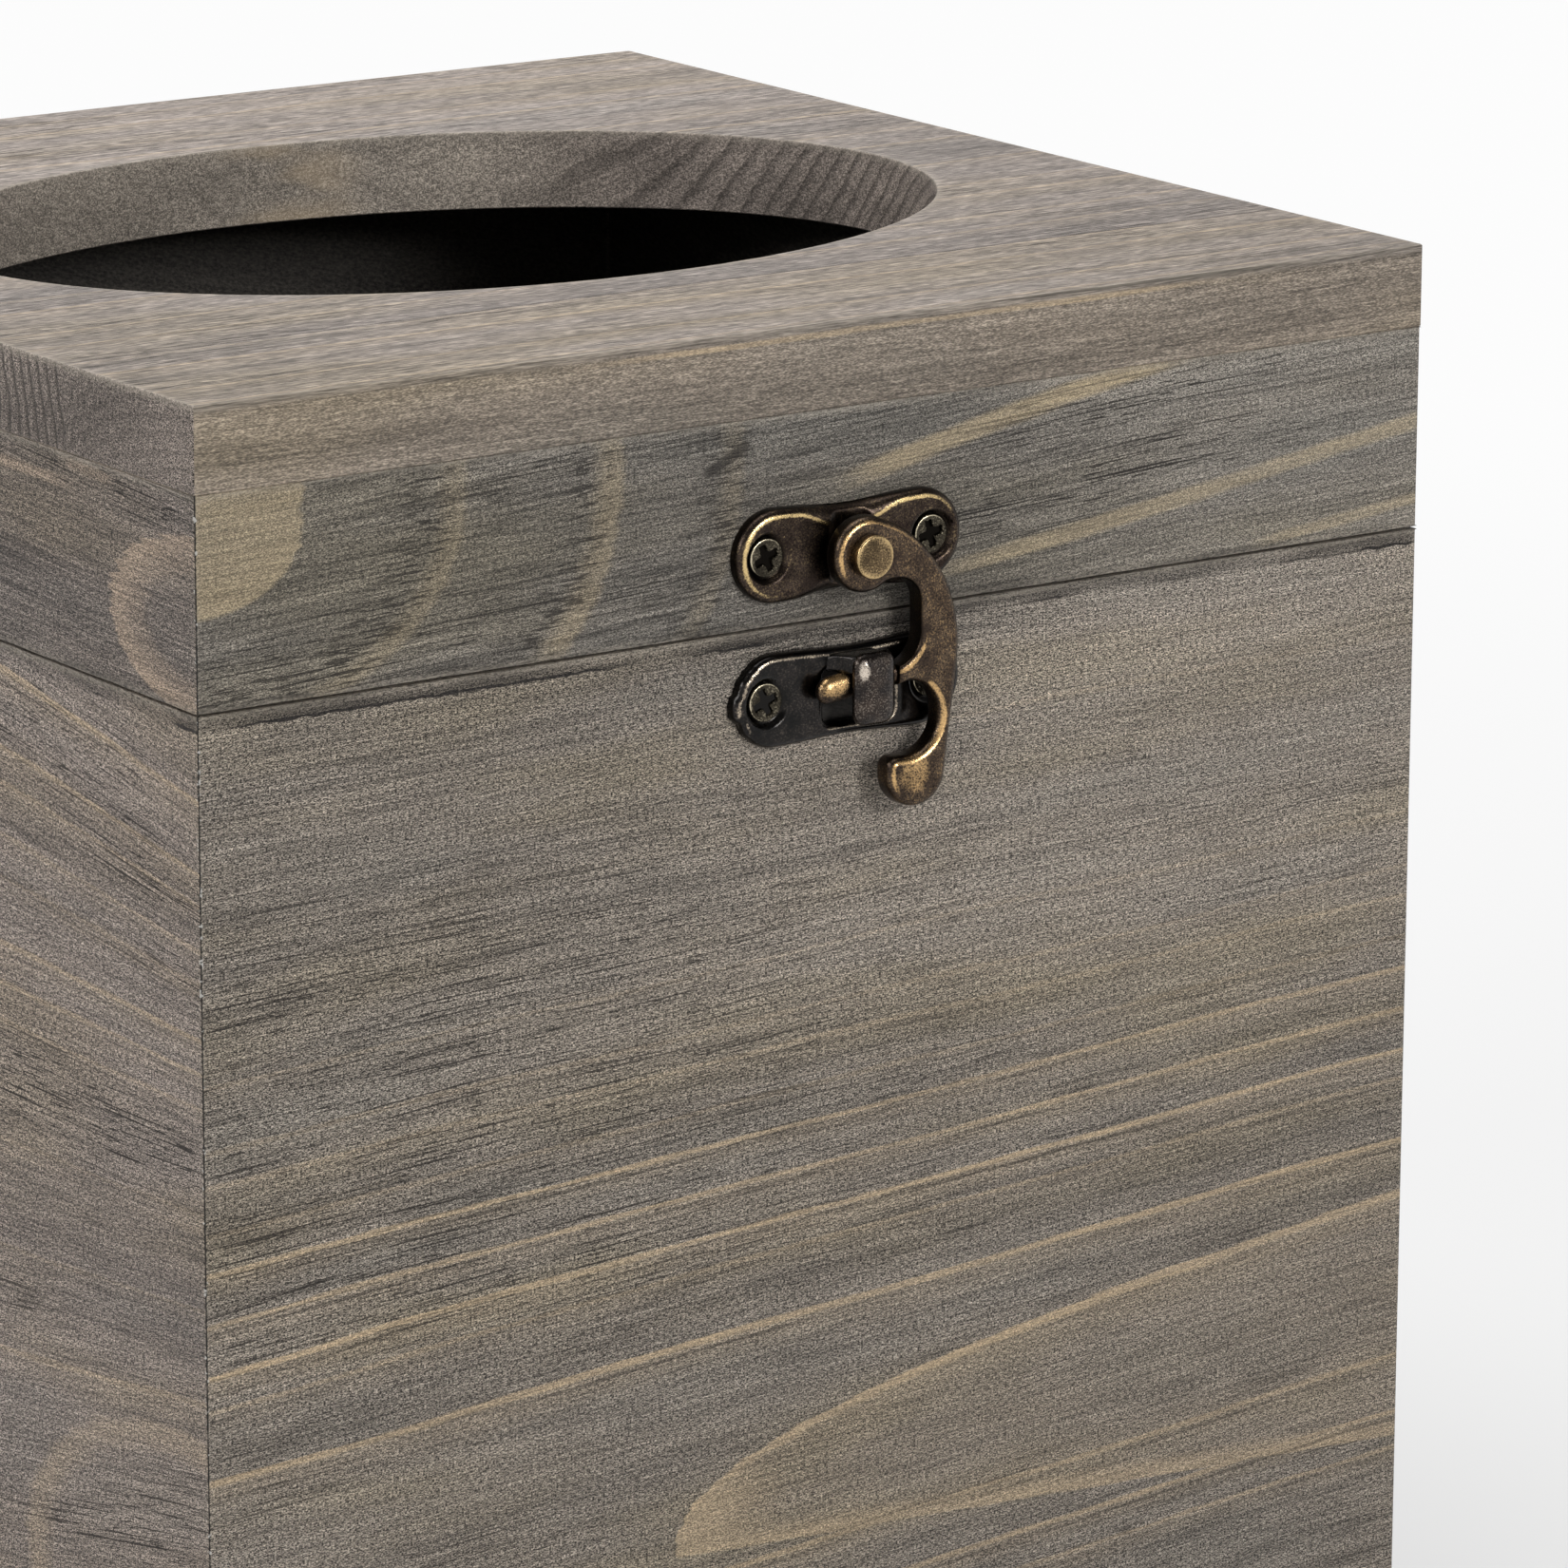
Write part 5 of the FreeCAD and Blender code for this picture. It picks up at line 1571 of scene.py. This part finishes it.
def screw(shape, place, x, z, radius, top, turn, length):
    """One countersunk screw, seen end on, with its shank in the wood."""
    def front(points, depth):
        heights = rounded(depth, top, 0.14)
        return heights - cross_recess(points, turn, radius) * RECESS_DEPTH * radius

    outline = spread(arc_points((0.0, 0.0), radius, 0.0, 2 * math.pi, 0.12)[:-1], 0.12)
    back = flat_back(top - 0.6 * radius)
    points, faces, depth, way, shown = relief([outline], 0.07 * radius, SCREW_RINGS, front, back)
    # Rim rubbed bright, lit more on the upper left as painted highlight
    wear_and_highlight = ridge_wear_and_highlight(depth, way, 0.10, 0.12, 0.6) * shown
    cut = cross_recess(points, turn, radius)
    # Painted highlight on the lips of the cross recess, partly wear
    wear_and_highlight = np.maximum(wear_and_highlight, 0.75 * (1 - smooth(np.abs(cut - 0.12), 0.0, 0.2)) * shown)
    # Dirt and painted shade darken the bottom of the recess
    shape.add(place(points, x, z), faces, wear_and_highlight.tolist(), smooth(cut, 0.2, 0.55).tolist())
    shank = [(0.0, top - 0.9), (0.55 * radius, top - 0.9), (0.5 * radius, top - length + 1.5),
             (0.0, top - length)]
    points, faces = lathe(shank, 20)
    shape.add(place(points, x, z), faces, [0.0] * len(points))


def latch_screws(node, level, top, turns, body):
    """The two screws of a plate of the latch."""
    shape = Shape()
    for spot, turn in zip((-SCREW_SPOT, SCREW_SPOT), turns):
        screw(shape, on_front, LATCH_X + spot, level, LATCH_SCREW_RADIUS, top, math.radians(turn),
              LATCH_SCREW_LENGTH)
    shape.piece(f"{node}_metal", [SCREW_METAL], body, node)


def hinge_screws(node, level, turns, body):
    """The screws of both hinges on one side of the seam."""
    shape = Shape()
    spots = [x + across for x in (-HINGE_X, HINGE_X) for across in (-HINGE_SCREW_ACROSS, HINGE_SCREW_ACROSS)]
    for x, turn in zip(spots, turns):
        screw(shape, on_back, x, level, HINGE_SCREW_RADIUS, LEAF_TOP - 0.05, math.radians(turn),
              HINGE_SCREW_LENGTH)
    shape.piece(f"{node}_metal", [SCREW_METAL], body, node)


# Hinges

def knuckle(start, end):
    """A tube along the hinge axis with eased rims."""
    outer, ease, steps = KNUCKLE_RADIUS, KNUCKLE_EASING, 40
    rim = [(0.0, outer - ease), (ease * 0.3, outer - ease * 0.3), (ease, outer)]
    section = [(start, KNUCKLE_BORE)] + [(start + x, radius) for x, radius in rim]
    section += [(end - x, radius) for x, radius in reversed(rim)] + [(end, KNUCKLE_BORE)]
    points = []
    for x, radius in section:
        for i in range(steps):
            t = 2 * math.pi * i / steps
            points.append((x, radius * math.cos(t), radius * math.sin(t)))
    faces = quads(len(section), steps)
    wear_and_highlight = [0.8 if radius > outer - ease * 0.6 and min(x - start, end - x) < ease else 0.2
            for x, radius in section for _ in range(steps)]
    return points, faces, wear_and_highlight


def hinge_leaf(node, x, side, knuckles, body):
    """A leaf of a butt hinge with its knuckles round the pin."""
    near = KNUCKLE_RADIUS * 0.55 * side
    far = LEAF_HEIGHT * side
    low, high = min(near, far), max(near, far)
    spots = [(s, HINGE_SCREW_UP * side) for s in (-HINGE_SCREW_ACROSS, HINGE_SCREW_ACROSS)]

    def front(points, depth):
        heights = rounded(depth, LEAF_TOP, LEAF_EASING)
        for spot in spots:
            heights = heights - LEAF_SEAT_DEPTH * (1 - smooth(reach_from(points, *spot), *LEAF_SEAT))
        return heights

    shape = Shape()
    corners = (LEAF_INNER_CORNER, LEAF_CORNER)[::side]
    outline = rounded_box(-LEAF_HALF_LENGTH, LEAF_HALF_LENGTH, low, high, *corners)
    points, faces, depth, way, shown = relief([outline], 0.36, (0.04, 0.1, 0.2), front, flat_back(0.0))
    # Rims rubbed bright, lit more on the upper left as painted highlight
    wear_and_highlight = ridge_wear_and_highlight(depth, way, 0.12, 0.35, 0.6) * shown
    shape.add(on_back(points, x, SEAM_Z), faces, wear_and_highlight.tolist())
    for start, end in knuckles:
        points, faces, wear_and_highlight = knuckle(start, end)
        moved = [(x + px, HALF + HINGE_AXIS_OUT + py, SEAM_Z + pz) for px, py, pz in points]
        shape.add(moved, faces, wear_and_highlight)
    shape.piece(f"{node}_metal", [HINGE_BRASS], body, node)


def hinge_pin(node, x):
    """The pin of a hinge, with rounded ends."""
    ends = [PIN_RADIUS * math.sin(t) for t in np.linspace(0, math.pi / 2, 5)]
    lift = [0.3 * (1 - math.cos(t)) for t in np.linspace(0, math.pi / 2, 5)]
    profile = [(r, -PIN_HALF + h) for r, h in zip(ends, lift)]
    profile += [(r, -h) for r, h in reversed(profile)]
    points, faces = lathe(profile, 24)
    moved = [(x + h, HALF + HINGE_AXIS_OUT + a, SEAM_Z + b) for a, b, h in points]
    shape = Shape()
    shape.add(moved, faces, [0.5] * len(moved))
    shape.piece(f"{node}_metal", [HINGE_BRASS], "base", node)


# Assembly

for turn, side in enumerate(("front", "right", "back", "left")):
    mitred_board(f"base_{side}_panel", turn, True, "base")
    mitred_board(f"lid_{side}_rail", turn, False, "lid")
pierced_board("lid_top_board", "lid", TOP_BOARD_ENDS)
plain_board("base_bottom_board", "base", BOTTOM_BOARD_ENDS)
latch_plate()
latch_rivet()
latch_hook()
catch_plate()
latch_screws("latch_plate_screws", LATCH_Z, LATCH_PLATE_TOP - SCREW_SUNK, (24.0, 14.0), "lid")
latch_screws("catch_plate_screws", CATCH_Z, CATCH_PLATE_TOP - SCREW_SUNK, (22.0, 40.0), "base")
for name, x in (("left", -HINGE_X), ("right", HINGE_X)):
    outer = KNUCKLE_HALF + KNUCKLE_PLAY
    hinge_leaf(f"hinge_{name}_lid_leaf", x, 1, [(-KNUCKLE_HALF, KNUCKLE_HALF)], "lid")
    ends = [(-LEAF_HALF_LENGTH, -outer), (outer, LEAF_HALF_LENGTH)]
    hinge_leaf(f"hinge_{name}_base_leaf", x, -1, ends, "base")
    hinge_pin(f"hinge_{name}_pin", x)
hinge_screws("hinge_lid_screws", SEAM_Z + HINGE_SCREW_UP, (10.0, 52.0, 33.0, 71.0), "lid")
hinge_screws("hinge_base_screws", SEAM_Z - HINGE_SCREW_UP, (64.0, 20.0, 5.0, 41.0), "base")


# Floor, light and camera

FLOOR_RADIUS = 6.0
FLOOR_PALE = (0.62, 0.62, 0.62)
FLOOR_GLOW = 0.5
FLOOR_DROP = 0.0002
BACKDROP = 0.975
DOME_LIGHT = 0.18
AIM = Vector((0.0, 0.0, 0.09))
# Soft lights: name, place, size and power
LAMPS = (
    ("overhead", (-0.1, 0.35, 1.5), 1.6, 33.0),
    ("left", (-1.6, -0.3, 1.0), 0.6, 10.7),
    ("front", (0.35, -1.7, 0.75), 0.45, 13.2),
)


def seen_directly(tree):
    """1 for the rays that look at a surface: from the camera, off metal or through glass."""
    path = tree.nodes.new("ShaderNodeLightPath")
    seen = Field(tree, path.outputs["Is Camera Ray"])
    for kind in ("Is Glossy Ray", "Is Transmission Ray"):
        seen = seen.largest(Field(tree, path.outputs[kind]))
    return seen


def floor():
    """A pale round floor that runs into the pale backdrop far from the object."""
    mesh = bpy.data.meshes.new("floor")
    shape = bmesh.new()
    bmesh.ops.create_circle(shape, cap_ends=True, segments=96, radius=FLOOR_RADIUS)
    shape.to_mesh(mesh)
    shape.free()
    item = bpy.data.objects.new("floor", mesh)
    item.location = (0.0, 0.0, -FLOOR_DROP)
    bpy.context.scene.collection.objects.link(item)
    material = bpy.data.materials.new("floor_pale")
    material.use_nodes = True
    tree = material.node_tree
    tree.nodes.clear()
    place = tree.nodes.new("ShaderNodeTexCoord")
    away = tree.nodes.new("ShaderNodeVectorMath")
    away.operation = "LENGTH"
    tree.links.new(place.outputs["Object"], away.inputs[0])
    fade = Field(tree, away.outputs["Value"]).between(0.15, 0.7) * (1 - FLOOR_GLOW) + FLOOR_GLOW
    dull = tree.nodes.new("ShaderNodeBsdfDiffuse")
    dull.inputs["Color"].default_value = (*FLOOR_PALE, 1.0)
    glow = tree.nodes.new("ShaderNodeEmission")
    glow.inputs["Strength"].default_value = BACKDROP
    blend = tree.nodes.new("ShaderNodeMixShader")
    tree.links.new((fade * seen_directly(tree)).socket, blend.inputs[0])
    tree.links.new(dull.outputs[0], blend.inputs[1])
    tree.links.new(glow.outputs[0], blend.inputs[2])
    out = tree.nodes.new("ShaderNodeOutputMaterial")
    tree.links.new(blend.outputs[0], out.inputs["Surface"])
    mesh.materials.append(material)


def backdrop():
    """Even light from all round, with a pale backdrop that ends some way above the floor."""
    world = bpy.data.worlds.new("studio")
    world.use_nodes = True
    bpy.context.scene.world = world
    tree = world.node_tree
    place = tree.nodes.new("ShaderNodeTexCoord")
    split = tree.nodes.new("ShaderNodeSeparateXYZ")
    tree.links.new(place.outputs["Generated"], split.inputs[0])
    low = Field(tree, split.outputs[2]).between(0.55, 0.2)
    strength = seen_directly(tree) * low * (BACKDROP - DOME_LIGHT) + DOME_LIGHT
    tree.links.new(strength.socket, tree.nodes["Background"].inputs["Strength"])
    tree.nodes["Background"].inputs["Color"].default_value = (1.0, 1.0, 1.0, 1.0)


def softbox(name, place, size, power):
    """A square soft light at a place, turned to the object."""
    light = bpy.data.lights.new(name, "AREA")
    light.shape = "SQUARE"
    light.size = size
    light.energy = power
    item = bpy.data.objects.new(name, light)
    item.location = place
    item.rotation_euler = (AIM - Vector(place)).to_track_quat("-Z", "Y").to_euler()
    bpy.context.scene.collection.objects.link(item)


def camera():
    """The camera at the photograph's angle and distance."""
    flat = math.cos(VIEW_ELEVATION)
    back = Vector((math.sin(VIEW_AZIMUTH) * flat, -math.cos(VIEW_AZIMUTH) * flat, math.sin(VIEW_ELEVATION)))
    right = (-back).cross(Vector((0.0, 0.0, 1.0))).normalized()
    up = right.cross(-back)
    side = right * math.cos(VIEW_ROLL) + up * math.sin(VIEW_ROLL)
    high = up * math.cos(VIEW_ROLL) - right * math.sin(VIEW_ROLL)
    seen = TOP_CENTRE_SEEN
    place = TOP_CENTRE - (side * seen.x + high * seen.y - back * seen.z)
    data = bpy.data.cameras.new("camera")
    data.sensor_width = SENSOR
    data.sensor_fit = "HORIZONTAL"
    data.lens = PHOTO_FOCUS / PHOTO_SIDE * SENSOR
    data.clip_start = 0.01
    item = bpy.data.objects.new("camera", data)
    pose = Matrix((side, high, back)).transposed().to_4x4()
    pose.translation = place * MM
    item.matrix_world = pose
    bpy.context.scene.collection.objects.link(item)
    bpy.context.scene.camera = item


floor()
backdrop()
for lamp in LAMPS:
    softbox(*lamp)
camera()
bpy.context.scene.view_settings.view_transform = "Standard"
